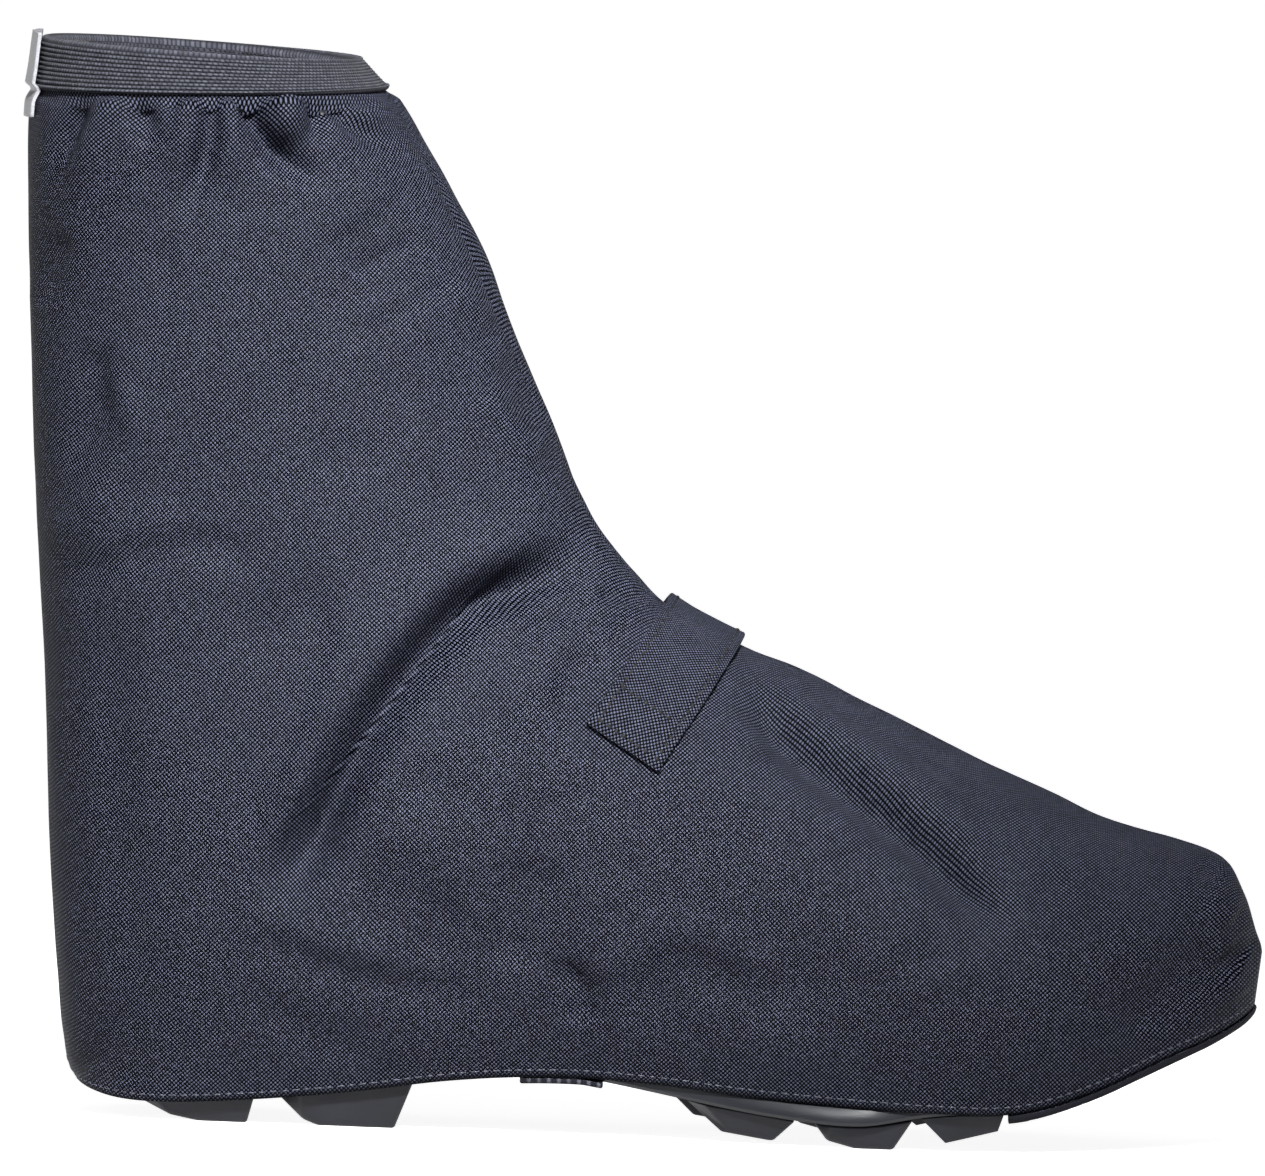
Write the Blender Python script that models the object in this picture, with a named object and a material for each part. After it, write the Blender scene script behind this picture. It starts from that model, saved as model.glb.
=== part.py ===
"""Cycling overshoe for the right foot: a hollow fabric upper on a lugged sole, standing empty.

Axes: +X runs to the toe, +Y to the inner side of the foot, +Z up.
The origin is on the floor, under the middle of the overall box. Sizes are in metres.
The fabric is cut as two side panels, sewn together down the front and down the back.
So the upper is laid out as sections that turn from upright at the toe to level at the
collar, each one running from the front seam to the hem or, above the heel, to the back seam.
"""

import math
from collections import namedtuple
from functools import cache

import bmesh
import bpy
from mathutils import Vector

# Overall sizes of the upper.
LENGTH = 0.3175
UPPER_HEIGHT = 0.2672
INSTEP_HEIGHT = 0.1335
BALL_WIDTH = 0.107
WALL = 0.0012
TOE_RADIUS = 0.075
HEEL_RADIUS = 0.030

# Clearance between two pieces that touch.
GAP = 0.0003

# Collar: an elastic tape folded over the top edge of the upper.
BAND_HEIGHT = 0.0125
BAND_THICKNESS = 0.0010
BAND_BEAD = 0.0007

# Pile patch inside the back of the collar, and the reflective tab outside it.
PATCH_LENGTH = 0.027
PATCH_HEIGHT = 0.0125
PATCH_THICKNESS = 0.0012
TAB_WIDTH = 0.024
TAB_HEIGHT = 0.0210
TAB_RISE = 0.0020
TAB_THICKNESS = 0.0008

# Strap over the instep, square to the vamp, with a doubled end on the outer side.
STRAP_WIDTH = 0.0217
STRAP_THICKNESS = 0.0011
STRAP_SLACK = 0.0018
STRAP_END_LENGTH = 0.0125
STRAP_END_THICKNESS = 0.0018
STRAP_LEAN = math.radians(58.0)
STRAP_CROSSING = 0.549
STRAP_DROP_OUT = 0.0385
STRAP_DROP_IN = 0.046

# Sole plate, the fabric panel under the toe, and the strap under the arch.
PLATE_THICKNESS = 0.0055
PLATE_TOE_INSET = 0.0065
PLATE_HEEL_INSET = 0.0015
UNDERLAY_THICKNESS = 0.0018
UNDERLAY_BACK = 0.804
ARCH_STRAP_THICKNESS = 0.0013
ARCH_STRAP_WIDTH = 0.0208
ARCH_STRAP_MIDDLE = 0.452

# Tread blocks.
TREAD_DEPTH = 0.0065
TREAD_EDGE_INSET = 0.0015
TREAD_DRAFT = 0.0020

# Facets: rows of them between two neighbouring sections, and columns in one panel.
ROWS_PER_SECTION = 2
PANEL_COLUMNS = 16

# A section of the upper. The x columns are shares of LENGTH from the back. The z columns
# are shares of INSTEP_HEIGHT up to 1, and from there to 2 they cover the rest of
# UPPER_HEIGHT. Width, centre and the two hem columns are shares of half the BALL_WIDTH,
# of half the BALL_WIDTH and of the section's own half width. Crown is the power of the
# section's rounding, where 2 is an ellipse.
Section = namedtuple(
    "Section", "name front_x front_z back_x back_z width centre crown hem_out hem_in"
)
SECTIONS = [
    Section("toe seam", 1.0000, 0.375, 0.9959, 0.279, 0.84, 0.080, 2.1, 0.90, 0.92),
    Section("toe edge", 0.9987, 0.393, 0.9943, 0.272, 0.84, 0.080, 2.1, 0.90, 0.92),
    Section("toe front", 0.9937, 0.429, 0.9896, 0.261, 0.84, 0.078, 2.1, 0.90, 0.92),
    Section("toe middle", 0.9846, 0.484, 0.9802, 0.246, 0.85, 0.074, 2.1, 0.90, 0.92),
    Section("toe box", 0.9657, 0.550, 0.9581, 0.217, 0.87, 0.065, 2.1, 0.90, 0.92),
    Section("toe root", 0.9279, 0.584, 0.9266, 0.184, 0.89, 0.050, 2.1, 0.90, 0.92),
    Section("toe spring", 0.8721, 0.618, 0.8696, 0.119, 0.93, 0.030, 2.1, 0.90, 0.92),
    Section("ball front", 0.8240, 0.663, 0.8130, 0.077, 0.98, 0.015, 2.1, 0.91, 0.92),
    Section("ball", 0.7750, 0.716, 0.7560, 0.072, 1.00, 0.000, 2.1, 0.91, 0.92),
    Section("ball back", 0.7120, 0.784, 0.6800, 0.078, 0.99, -0.015, 2.1, 0.90, 0.88),
    Section("waist front", 0.6480, 0.850, 0.5980, 0.090, 0.935, -0.030, 2.0, 0.87, 0.81),
    Section("waist", 0.5840, 0.914, 0.5200, 0.105, 0.87, -0.040, 2.0, 0.84, 0.76),
    Section("instep", 0.5230, 0.985, 0.4440, 0.110, 0.825, -0.040, 2.0, 0.81, 0.74),
    Section("bend front", 0.4945, 1.046, 0.3685, 0.097, 0.805, -0.030, 2.0, 0.80, 0.75),
    Section("bend", 0.4755, 1.095, 0.2865, 0.067, 0.795, -0.020, 2.1, 0.80, 0.77),
    Section("heel seat", 0.4615, 1.139, 0.2050, 0.045, 0.785, -0.010, 2.1, 0.80, 0.79),
    Section("heel", 0.4515, 1.178, 0.1320, 0.0345, 0.78, 0.0, 2.2, 0.80, 0.80),
    Section("heel turn", 0.4465, 1.200, 0.0945, 0.040, 0.775, 0.0, 2.2, 0.80, 0.80),
    Section("heel corner", 0.4430, 1.218, 0.0690, 0.064, 0.77, 0.0, 2.2, 0.80, 0.80),
    Section("heel back", 0.4370, 1.254, 0.0585, 0.142, 0.76, 0.0, 2.2, 0.80, 0.80),
    Section("counter low", 0.4270, 1.310, 0.0515, 0.270, 0.75, 0.0, 2.2, 0.80, 0.80),
    Section("counter", 0.4140, 1.377, 0.0455, 0.412, 0.745, 0.0, 2.2, 0.80, 0.80),
    Section("counter high", 0.4000, 1.457, 0.0397, 0.600, 0.74, 0.0, 2.3, 0.80, 0.80),
    Section("ankle", 0.3850, 1.539, 0.0330, 0.832, 0.74, 0.0, 2.3, 0.80, 0.80),
    Section("shin low", 0.3680, 1.631, 0.0236, 1.086, 0.75, 0.0, 2.3, 0.80, 0.80),
    Section("shin", 0.3510, 1.707, 0.0167, 1.319, 0.765, 0.0, 2.3, 0.80, 0.80),
    Section("shin high", 0.3345, 1.773, 0.0113, 1.521, 0.775, 0.0, 2.3, 0.80, 0.80),
    Section("shaft", 0.3180, 1.835, 0.0070, 1.709, 0.775, 0.0, 2.3, 0.80, 0.80),
    Section("below band", 0.2985, 1.909, 0.0055, 1.880, 0.765, 0.0, 2.2, 0.80, 0.80),
    Section("band low", 0.2855, 1.928, 0.0115, 1.910, 0.720, 0.0, 2.2, 0.80, 0.80),
    Section("collar", 0.2640, 1.978, 0.0165, 2.000, 0.70, 0.0, 2.2, 0.80, 0.80),
]
HEEL_CORNER = [row.name for row in SECTIONS].index("heel corner")
BAND_LOW = [row.name for row in SECTIONS].index("band low")

# How far the sole plate stands below the hem: x as a share of LENGTH, drop as a share of
# PLATE_THICKNESS. Below zero it is tucked up inside the upper.
PlateDrop = namedtuple("PlateDrop", "x drop")
PLATE_DROPS = [
    PlateDrop(0.060, -0.20),
    PlateDrop(0.300, -0.22),
    PlateDrop(0.430, -0.22),
    PlateDrop(0.480, 0.08),
    PlateDrop(0.550, 0.52),
    PlateDrop(0.640, 0.84),
    PlateDrop(0.690, 0.80),
    PlateDrop(0.735, 0.25),
    PlateDrop(0.775, 0.00),
    PlateDrop(1.000, 0.00),
]

# Tread blocks. Top columns give where a block leaves the plate, low columns the corners of
# its underside, in shares of LENGTH; the heights are shares of TREAD_DEPTH off the floor.
# Inner is the distance from the sole's middle to the inner face, in shares of BALL_WIDTH.
Tread = namedtuple("Tread", "name top_back top_front low_back knee low_front z_back z_front inner")
TREADS = [
    Tread("heel_rear", 0.115, 0.2115, 0.145, 0.168, 0.206, 0.20, 0.0, 0.065),
    Tread("heel_front", 0.228, 0.3365, 0.250, 0.262, 0.322, 0.22, 0.0, 0.085),
    Tread("ball_rear", 0.5505, 0.6365, 0.579, 0.616, 0.620, 0.42, 0.17, 0.200),
    Tread("ball_middle", 0.6510, 0.7290, 0.662, 0.684, 0.714, 0.26, 0.0, 0.205),
    Tread("ball_front", 0.7350, 0.8000, 0.755, 0.7555, 0.796, 0.34, 0.85, 0.190),
]
BALL_TREAD_SHIFT_IN = -0.022
TREAD_STATIONS = 6
TREAD_CHAMFER = 0.30


def along(share):
    """A distance along the shoe from a share of its length, with the origin at the middle."""
    return (share - 0.5) * LENGTH


def height(share):
    """A height from a share: the foot up to 1, and the shaft from 1 to 2."""
    if share <= 1.0:
        return share * INSTEP_HEIGHT
    return INSTEP_HEIGHT + (share - 1.0) * (UPPER_HEIGHT - INSTEP_HEIGHT)


def curve_through(places, values, place):
    """The value at a place on a smooth curve through the given values at rising places."""
    last = len(places) - 1
    place = min(max(place, places[0]), places[-1])
    i = max(k for k in range(last) if places[k] <= place)

    def slope(k):
        low, high = max(k - 1, 0), min(k + 1, last)
        return (values[high] - values[low]) / (places[high] - places[low])

    span = places[i + 1] - places[i]
    t = (place - places[i]) / span
    rest = 1.0 - t
    return (
        values[i] * rest * rest * (1.0 + 2.0 * t)
        + slope(i) * span * t * rest * rest
        + values[i + 1] * t * t * (3.0 - 2.0 * t)
        - slope(i + 1) * span * t * t * rest
    )


def section_places():
    """Where each section lies: the mean distance walked along the front and back lines."""
    places = [0.0]
    for a, b in zip(SECTIONS, SECTIONS[1:]):
        front = math.hypot(b.front_x - a.front_x, b.front_z - a.front_z)
        back = math.hypot(b.back_x - a.back_x, b.back_z - a.back_z)
        places.append(places[-1] + (front + back) / 2.0)
    return places


PLACES = section_places()
COLUMNS = {name: [getattr(row, name) for row in SECTIONS] for name in Section._fields[1:]}
PLACE_CORNER = PLACES[HEEL_CORNER]
PLACE_BAND = PLACES[BAND_LOW]
PLACE_TOP = PLACES[-1]
FOOT_ROWS = HEEL_CORNER * ROWS_PER_SECTION
ALL_ROWS = (len(SECTIONS) - 1) * ROWS_PER_SECTION


def row_place(row):
    """The place of a row of facets, counted from the toe seam."""
    i = min(int(row / ROWS_PER_SECTION), len(SECTIONS) - 2)
    return PLACES[i] + (PLACES[i + 1] - PLACES[i]) * (row / ROWS_PER_SECTION - i)


def column(name, place):
    """A column of the section table at any place between the toe and the collar."""
    return curve_through(PLACES, COLUMNS[name], place)


def rounding(distance, radius):
    """How wide a round end has become at a distance from its tip: 0 at the tip, then 1."""
    share = min(max(distance / radius, 0.0), 1.0)
    return math.sqrt(1.0 - (1.0 - share) ** 2)


@cache
def section_frame(place):
    """Front point, back point, half width, centre and crown of the section at a place."""
    front = Vector((along(column("front_x", place)), 0.0, height(column("front_z", place))))
    back = Vector((along(column("back_x", place)), 0.0, height(column("back_z", place))))
    tip = along(SECTIONS[0].back_x)
    half = column("width", place) * BALL_WIDTH / 2.0 * rounding(tip - back.x, TOE_RADIUS)
    centre = column("centre", place) * BALL_WIDTH / 2.0
    return front, back, half, centre, column("crown", place)


def hem_share(place, side):
    """Half width of the hem as a share of the section's: nothing from the heel corner up."""
    if place >= PLACE_CORNER:
        return 0.0
    corner = along(SECTIONS[HEEL_CORNER].back_x)
    behind = along(column("back_x", place)) - corner
    name = "hem_in" if side > 0 else "hem_out"
    return column(name, min(place, PLACE_CORNER)) * rounding(behind, HEEL_RADIUS)


def upper_point(place, around):
    """A point on the outside of the upper.

    Around is 0 on the front seam, -1 on the hem or back seam of the outer panel and
    +1 on that of the inner panel.
    """
    front, back, half, centre, crown = section_frame(place)
    side = 1.0 if around > 0 else -1.0
    power = 2.0 / crown
    end = math.pi - math.asin(hem_share(place, side) ** (1.0 / power))
    angle = abs(around) * end

    def depth(at):
        c = math.cos(at)
        return (1.0 - math.copysign(abs(c) ** power, c)) / 2.0

    point = front.lerp(back, depth(angle) / depth(end))
    point.y = centre + side * half * abs(math.sin(angle)) ** power
    return point


def upper_normal(place, around):
    """The outward direction of the upper at a point."""
    step_place, step_around = PLACE_TOP * 2e-3, 5e-3
    low, high = max(place - step_place, 0.0), min(place + step_place, PLACE_TOP)
    left, right = max(around - step_around, -1.0), min(around + step_around, 1.0)
    along_panel = upper_point(high, around) - upper_point(low, around)
    across_panel = upper_point(place, right) - upper_point(place, left)
    return across_panel.cross(along_panel).normalized()


def off_upper(place, around, distance):
    """A point at a distance outside the upper, or inside where it is below zero."""
    return upper_point(place, around) + upper_normal(place, around) * distance


def solve(low, high, wrong):
    """The number between low and high where wrong changes from below zero to above it."""
    for _ in range(40):
        middle = (low + high) / 2.0
        if wrong(middle) < 0:
            low = middle
        else:
            high = middle
    return (low + high) / 2.0


@cache
def hem_place(x):
    """The place whose hem lies at a distance x along the shoe."""
    return solve(0.0, PLACE_CORNER, lambda place: x - along(column("back_x", place)))


def hem_at(x, side):
    """The hem's point on one side, at a distance x along the shoe."""
    return upper_point(hem_place(x), side)


def plate_bottom(x):
    """Height of the sole plate's underside at a distance x along the shoe."""
    share = x / LENGTH + 0.5
    drop = curve_through(
        [row.x for row in PLATE_DROPS], [row.drop for row in PLATE_DROPS], share
    )
    return hem_at(x, -1).z - drop * PLATE_THICKNESS


def material(name, colour, roughness):
    """A plain Principled material; colour is linear red, green and blue."""
    made = bpy.data.materials.get(name)
    if made is None:
        made = bpy.data.materials.new(name)
        made.use_nodes = True
        shader = made.node_tree.nodes["Principled BSDF"]
        shader.inputs["Base Color"].default_value = (*colour, 1.0)
        shader.inputs["Roughness"].default_value = roughness
        shader.inputs["Metallic"].default_value = 0.0
    return made


def fabric():
    return material("coated_fabric", (0.020, 0.021, 0.028), 0.85)


def elastic():
    return material("elastic_tape", (0.022, 0.023, 0.028), 0.9)


def pile():
    return material("loop_pile", (0.014, 0.014, 0.016), 1.0)


def reflective():
    return material("reflective_tape", (0.45, 0.45, 0.47), 0.4)


def nylon():
    return material("sole_nylon", (0.022, 0.023, 0.028), 0.45)


def rubber():
    return material("tread_rubber", (0.028, 0.029, 0.035), 0.6)


def add_object(name, mesh_maker, made_of):
    """A named object from a mesh that is being built, with its normals turned outward."""
    bmesh.ops.remove_doubles(mesh_maker, verts=mesh_maker.verts, dist=1e-6)
    bmesh.ops.dissolve_degenerate(mesh_maker, dist=1e-7, edges=mesh_maker.edges)
    bmesh.ops.recalc_face_normals(mesh_maker, faces=mesh_maker.faces)
    mesh = bpy.data.meshes.new(name)
    mesh_maker.to_mesh(mesh)
    mesh_maker.free()
    mesh.materials.append(made_of)
    mesh.shade_smooth()
    mesh.set_sharp_from_angle(angle=math.radians(40))
    made = bpy.data.objects.new(name, mesh)
    bpy.context.scene.collection.objects.link(made)
    return made


def grid(rows, columns, point):
    """A sheet whose corners are placed by point(u, v), with u and v from 0 to 1."""
    sheet = bmesh.new()
    bmesh.ops.create_grid(sheet, x_segments=rows, y_segments=columns, size=1.0)
    for corner in sheet.verts:
        corner.co = point((corner.co.x + 1.0) / 2.0, (corner.co.y + 1.0) / 2.0)
    return sheet


def thicken(made, thickness, offset):
    """Gives a sheet its thickness: offset 1 outward of its faces, -1 inward."""
    wall = made.modifiers.new("thickness", "SOLIDIFY")
    wall.thickness = thickness
    wall.offset = offset
    wall.use_even_offset = True
    return made


def slab(name, rows, columns, low_point, high_point, made_of):
    """A closed solid between two sheets that share one layout, joined round their rims."""
    solid = grid(rows, columns, low_point)
    upper_sheet = grid(rows, columns, high_point)
    spare = bpy.data.meshes.new(name)
    upper_sheet.to_mesh(spare)
    upper_sheet.free()
    solid.from_mesh(spare)
    bpy.data.meshes.remove(spare)
    rims = [edge for edge in solid.edges if edge.is_boundary]
    bmesh.ops.bridge_loops(solid, edges=rims)
    return add_object(name, solid, made_of)


def build_upper():
    """The hollow fabric upper: open at the collar, and underneath where the sole closes it."""

    def point(u, v):
        return upper_point(row_place(u * ALL_ROWS), 2.0 * v - 1.0)

    sheet = grid(ALL_ROWS, 2 * PANEL_COLUMNS, point)
    upper = add_object("upper", sheet, fabric())
    # The sheet is open, so its normals are set by the outermost face of the ball.
    widest = max(upper.data.polygons, key=lambda face: face.center.y)
    if widest.normal.y < 0:
        upper.data.flip_normals()
    return thicken(upper, WALL, -1)


def swept_ring(name, profile, made_of):
    """A closed ring round the collar. The profile's points are (place, distance, rise)."""
    count = len(profile)
    ring = bmesh.new()
    loops = []
    for step in range(2 * PANEL_COLUMNS):
        around = step / PANEL_COLUMNS - 1.0
        loop = []
        for place, distance, rise in profile:
            corner = off_upper(place, around, distance)
            corner.z += rise
            loop.append(ring.verts.new(corner))
        loops.append(loop)
    for near, far in zip(loops, loops[1:] + loops[:1]):
        for i in range(count):
            j = (i + 1) % count
            ring.faces.new((near[i], near[j], far[j], far[i]))
    return add_object(name, ring, made_of)


def build_collar_band():
    """Elastic tape folded over the top edge, with a rolled bead along its lower edge."""
    outer, inner = GAP, -(WALL + GAP)
    skin = BAND_THICKNESS
    over = GAP + BAND_THICKNESS
    bead_place = PLACE_BAND + (PLACE_TOP - PLACE_BAND) * 0.10
    profile = [
        (PLACE_BAND, outer, 0.0),
        (PLACE_BAND, outer + skin, 0.0),
        (PLACE_BAND, outer + skin + BAND_BEAD, BAND_BEAD),
        (bead_place, outer + skin, BAND_BEAD),
        (PLACE_TOP, outer + skin, 0.0),
        (PLACE_TOP, outer + skin * 0.4, over),
        (PLACE_TOP, inner - skin * 0.4, over),
        (PLACE_TOP, inner - skin, 0.0),
        (bead_place, inner - skin, 0.0),
        (bead_place, inner, 0.0),
        (PLACE_TOP, inner, GAP),
        (PLACE_TOP, outer, GAP),
    ]
    return swept_ring("collar_band", profile, elastic())


def girth(place):
    """Length round the upper at a place, from the back seam and back to it."""
    ring = [upper_point(place, step / 24.0 - 1.0) for step in range(49)]
    return sum((b - a).length for a, b in zip(ring, ring[1:]))


def collar_place(rise):
    """The place on the back line at a height below or at the top of the upper."""
    return solve(
        PLACE_CORNER,
        PLACE_TOP,
        lambda place: height(column("back_z", place)) - (UPPER_HEIGHT + rise),
    )


def build_loop_patch():
    """Pile patch inside the collar, from the back seam forward on the inner side."""
    turn = 2.0 * PATCH_LENGTH / girth(PLACE_TOP)
    face = -(WALL + 2.0 * GAP + BAND_THICKNESS)
    low = collar_place(-PATCH_HEIGHT)

    def point(depth):
        def place_at(u, v):
            place = low + (PLACE_TOP - low) * u
            return off_upper(place, 1.0 - turn * (0.06 + 0.94 * v), face - depth)

        return place_at

    return slab("collar_loop_patch", 4, 8, point(0.0), point(PATCH_THICKNESS), pile())


def build_reflective_tab():
    """Reflective tab down the back seam: over the collar band and onto the fabric below."""
    turn = TAB_WIDTH / girth(PLACE_TOP)
    low = collar_place(TAB_RISE - TAB_HEIGHT)
    over_band = GAP + BAND_THICKNESS + BAND_BEAD + GAP
    bead_low = collar_place(-BAND_HEIGHT) - 0.15 * (PLACE_TOP - low)

    def point(depth):
        def place_at(u, v):
            share = 2.0 * v - 1.0
            around = 1.0 - abs(turn * share) if share > 0 else abs(turn * share) - 1.0
            place = low + (PLACE_TOP - low) * u
            seat = off_upper(place, around, over_band if place > bead_low else GAP)
            seat.z += TAB_RISE * u
            outward = upper_normal(place, around)
            outward.z = 0.0
            return seat + outward.normalized() * depth

        return place_at

    return slab("reflective_tab", 10, 8, point(0.0), point(TAB_THICKNESS), reflective())


@cache
def strap_axes():
    """Directions along and across the strap in the side view, and its point on the vamp."""
    up = Vector((math.cos(STRAP_LEAN), 0.0, math.sin(STRAP_LEAN)))
    across = Vector((math.sin(STRAP_LEAN), 0.0, -math.cos(STRAP_LEAN)))
    place = solve(0.0, PLACE_CORNER, lambda at: STRAP_CROSSING - column("front_x", at))
    return up, across, upper_point(place, 0.0)


@cache
def strap_place(offset, around):
    """The place where a line along the strap, at an offset across it, passes an around."""
    _, across, crossing = strap_axes()
    return solve(
        0.0,
        PLACE_BAND,
        lambda place: (crossing - upper_point(place, around)).dot(across) + offset,
    )


@cache
def strap_end(offset, side, drop):
    """How far around a line along the strap runs, to a drop below its highest point."""
    up, _, crossing = strap_axes()

    def wrong(reach):
        around = side * reach
        here = upper_point(strap_place(offset, around), around)
        return (crossing - here).dot(up) - drop

    return side * solve(0.0, 0.95, wrong)


def strap_point(offset, share, distance):
    """A point on the instep strap: offset across it, share 0 at its outer end to 1."""
    first = strap_end(offset, -1.0, STRAP_DROP_OUT)
    last = strap_end(offset, 1.0, STRAP_DROP_IN)
    around = first + (last - first) * share
    return off_upper(strap_place(offset, around), around, distance)


def build_instep_strap():
    """Fabric strap over the instep. Its outer end is folded double and sewn in a box."""
    columns, rows = 4, 24
    length_guess = STRAP_DROP_OUT + STRAP_DROP_IN + BALL_WIDTH * 0.5
    end_share = STRAP_END_LENGTH / length_guess

    def thickness(share):
        return STRAP_END_THICKNESS if share <= end_share else STRAP_THICKNESS

    def stops(u):
        """Rows crowd at the step where the doubled end stops."""
        step = 0.004
        marks = [0.0, end_share * 0.5, end_share, end_share + step]
        spare = rows + 1 - len(marks)
        marks += [marks[-1] + (1.0 - marks[-1]) * (k + 1) / spare for k in range(spare)]
        return marks[round(u * rows)]

    def point(outside):
        def place_at(u, v):
            share = stops(u)
            bow = max(0.0, 1.0 - (share - 0.46) ** 2 / 0.12) ** 2 * STRAP_SLACK
            lift = GAP + bow + (thickness(share) if outside else 0.0)
            return strap_point((v - 0.5) * STRAP_WIDTH, share, lift)

        return place_at

    return slab("instep_strap", rows, columns, point(False), point(True), fabric())


def offset_outline(inset):
    """Both sides of the hem from toe to heel, moved inward in plan by inset(share)."""
    count = FOOT_ROWS
    places = [row_place(row) for row in range(count + 1)]
    outer = [upper_point(place, -1.0) for place in places]
    inner = [upper_point(place, 1.0) for place in places]
    loop = outer + inner[-2:0:-1]
    moved = []
    for i, here in enumerate(loop):
        before, after = loop[i - 1], loop[(i + 1) % len(loop)]
        run = Vector((after.x - before.x, after.y - before.y, 0.0)).normalized()
        # The loop runs toe, outer side, heel, inner side, so its inward side is on the left.
        inward = Vector((run.y, -run.x, 0.0))
        moved.append(here + inward * inset(min(i, len(loop) - i) / count))
    outer_side = moved[: count + 1]
    inner_side = [moved[0], *moved[: count : -1], moved[count]]
    return outer_side, inner_side


def build_sole_plate():
    """The stiff plate that closes the upper underneath, with its arch and toe spring."""
    base = WALL + GAP

    def inset(share):
        toe = PLATE_TOE_INSET * max(0.0, 1.0 - share / 0.45)
        heel = PLATE_HEEL_INSET * max(0.0, share / 0.2 - 4.0)
        return base + toe + heel

    outer_side, inner_side = offset_outline(inset)

    def point(rise):
        def place_at(u, v):
            i = round(u * FOOT_ROWS)
            corner = outer_side[i].lerp(inner_side[i], v)
            corner.z = plate_bottom(corner.x) + rise
            return corner

        return place_at

    return slab("sole_plate", FOOT_ROWS, 6, point(0.0), point(PLATE_THICKNESS), nylon())


def build_toe_underlay():
    """The fabric panel that turns under the toe and is sewn to the hem."""
    back = hem_place(along(UNDERLAY_BACK))
    rows = 14

    def point(drop):
        def place_at(u, v):
            place = back * u * u
            corner = upper_point(place, -1.0).lerp(upper_point(place, 1.0), v)
            corner.z -= GAP + drop
            return corner

        return place_at

    thickness = UNDERLAY_THICKNESS
    return slab("toe_underlay", rows, 6, point(thickness), point(0.0), fabric())


def build_arch_strap():
    """Elastic strap under the arch, sewn to the hem on both sides."""
    half = ARCH_STRAP_WIDTH / 2.0

    def point(drop):
        def place_at(u, v):
            x = along(ARCH_STRAP_MIDDLE) + (2.0 * u - 1.0) * half
            corner = hem_at(x, -1).lerp(hem_at(x, 1), v)
            corner.z = min(hem_at(x, -1).z, hem_at(x, 1).z, plate_bottom(x)) - GAP - drop
            return corner

        return place_at

    thickness = ARCH_STRAP_THICKNESS
    return slab("arch_strap", 5, 8, point(thickness), point(0.0), elastic())


def build_tread(row, side):
    """One rubber block under the plate, narrower at the floor than where it leaves the plate."""
    shift = BALL_TREAD_SHIFT_IN if side > 0 and row.name.startswith("ball") else 0.0
    top = [along(row.top_back + shift), along(row.top_front + shift)]
    low = [(row.low_back, row.z_back), (row.knee, row.z_front), (row.low_front, row.z_front)]
    if row.z_front > row.z_back:
        low[1] = (row.knee, row.z_back)
    inner = side * row.inner * BALL_WIDTH
    shares = [(x - row.low_back) / (row.low_front - row.low_back) for x, _ in low]
    stations = sorted({*shares, *(k / TREAD_STATIONS for k in range(TREAD_STATIONS + 1))})
    block = bmesh.new()
    rings = []
    for station in stations:
        top_x = top[0] + (top[1] - top[0]) * station
        low_x = along(row.low_back + shift + (row.low_front - row.low_back) * station)
        k = 0 if station < shares[1] else 1
        run = (station - shares[k]) / (shares[k + 1] - shares[k])
        low_z = (low[k][1] + (low[k + 1][1] - low[k][1]) * run) * TREAD_DEPTH
        edge_top = hem_at(top_x, side).y - side * (WALL + GAP + TREAD_EDGE_INSET)
        edge_low = hem_at(low_x, side).y - side * (WALL + GAP + TREAD_EDGE_INSET + TREAD_DRAFT)
        if station == 0.0:
            edge_top -= (edge_top - inner) * TREAD_CHAMFER
        top_z = plate_bottom(top_x) - GAP
        corners = [
            (top_x, edge_top, top_z),
            (low_x, edge_low, low_z),
            (low_x, inner + side * TREAD_DRAFT, low_z),
            (top_x, inner, top_z),
        ]
        rings.append([block.verts.new(corner) for corner in corners])
    for near, far in zip(rings, rings[1:]):
        for i in range(4):
            j = (i + 1) % 4
            block.faces.new((near[i], near[j], far[j], far[i]))
    block.faces.new(rings[0])
    block.faces.new(rings[-1])
    name = f"tread_{row.name}_{'in' if side > 0 else 'out'}"
    return add_object(name, block, rubber())


def main():
    for old in list(bpy.data.objects):
        bpy.data.objects.remove(old)
    build_upper()
    build_collar_band()
    build_loop_patch()
    build_reflective_tab()
    build_instep_strap()
    build_sole_plate()
    build_toe_underlay()
    build_arch_strap()
    for row in TREADS:
        for side in (-1, 1):
            build_tread(row, side)


main()
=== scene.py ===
"""Cycling overshoe, dressed: woven fabric with its creases and seams, ribbed elastic
collar, sewn straps, moulded sole plate and rubber tread, built round the fixed solids.

Axes: +X runs to the toe, +Y to the inner side of the foot, +Z up. Sizes are in metres,
and in the table of folds in millimetres.
"""

import math
from collections import namedtuple
from functools import cache

import bmesh
import bpy
import numpy as np
from mathutils import Matrix, Vector, noise


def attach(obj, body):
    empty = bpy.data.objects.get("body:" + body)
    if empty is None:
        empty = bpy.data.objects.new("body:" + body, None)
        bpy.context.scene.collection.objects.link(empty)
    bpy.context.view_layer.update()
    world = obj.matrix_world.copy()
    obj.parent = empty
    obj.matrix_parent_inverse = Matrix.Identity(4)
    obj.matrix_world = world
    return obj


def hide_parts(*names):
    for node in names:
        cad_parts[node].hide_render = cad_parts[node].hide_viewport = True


bl_info = {
    "name": "Cycling Overshoe",
    "version": (1, 0, 0),
    "blender": (4, 5, 0),
    "location": "View3D > Sidebar > Overshoe",
    "description": "Dresses the solids of a cycling overshoe with fabric, seams and sole",
    "category": "Add Mesh",
}

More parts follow.
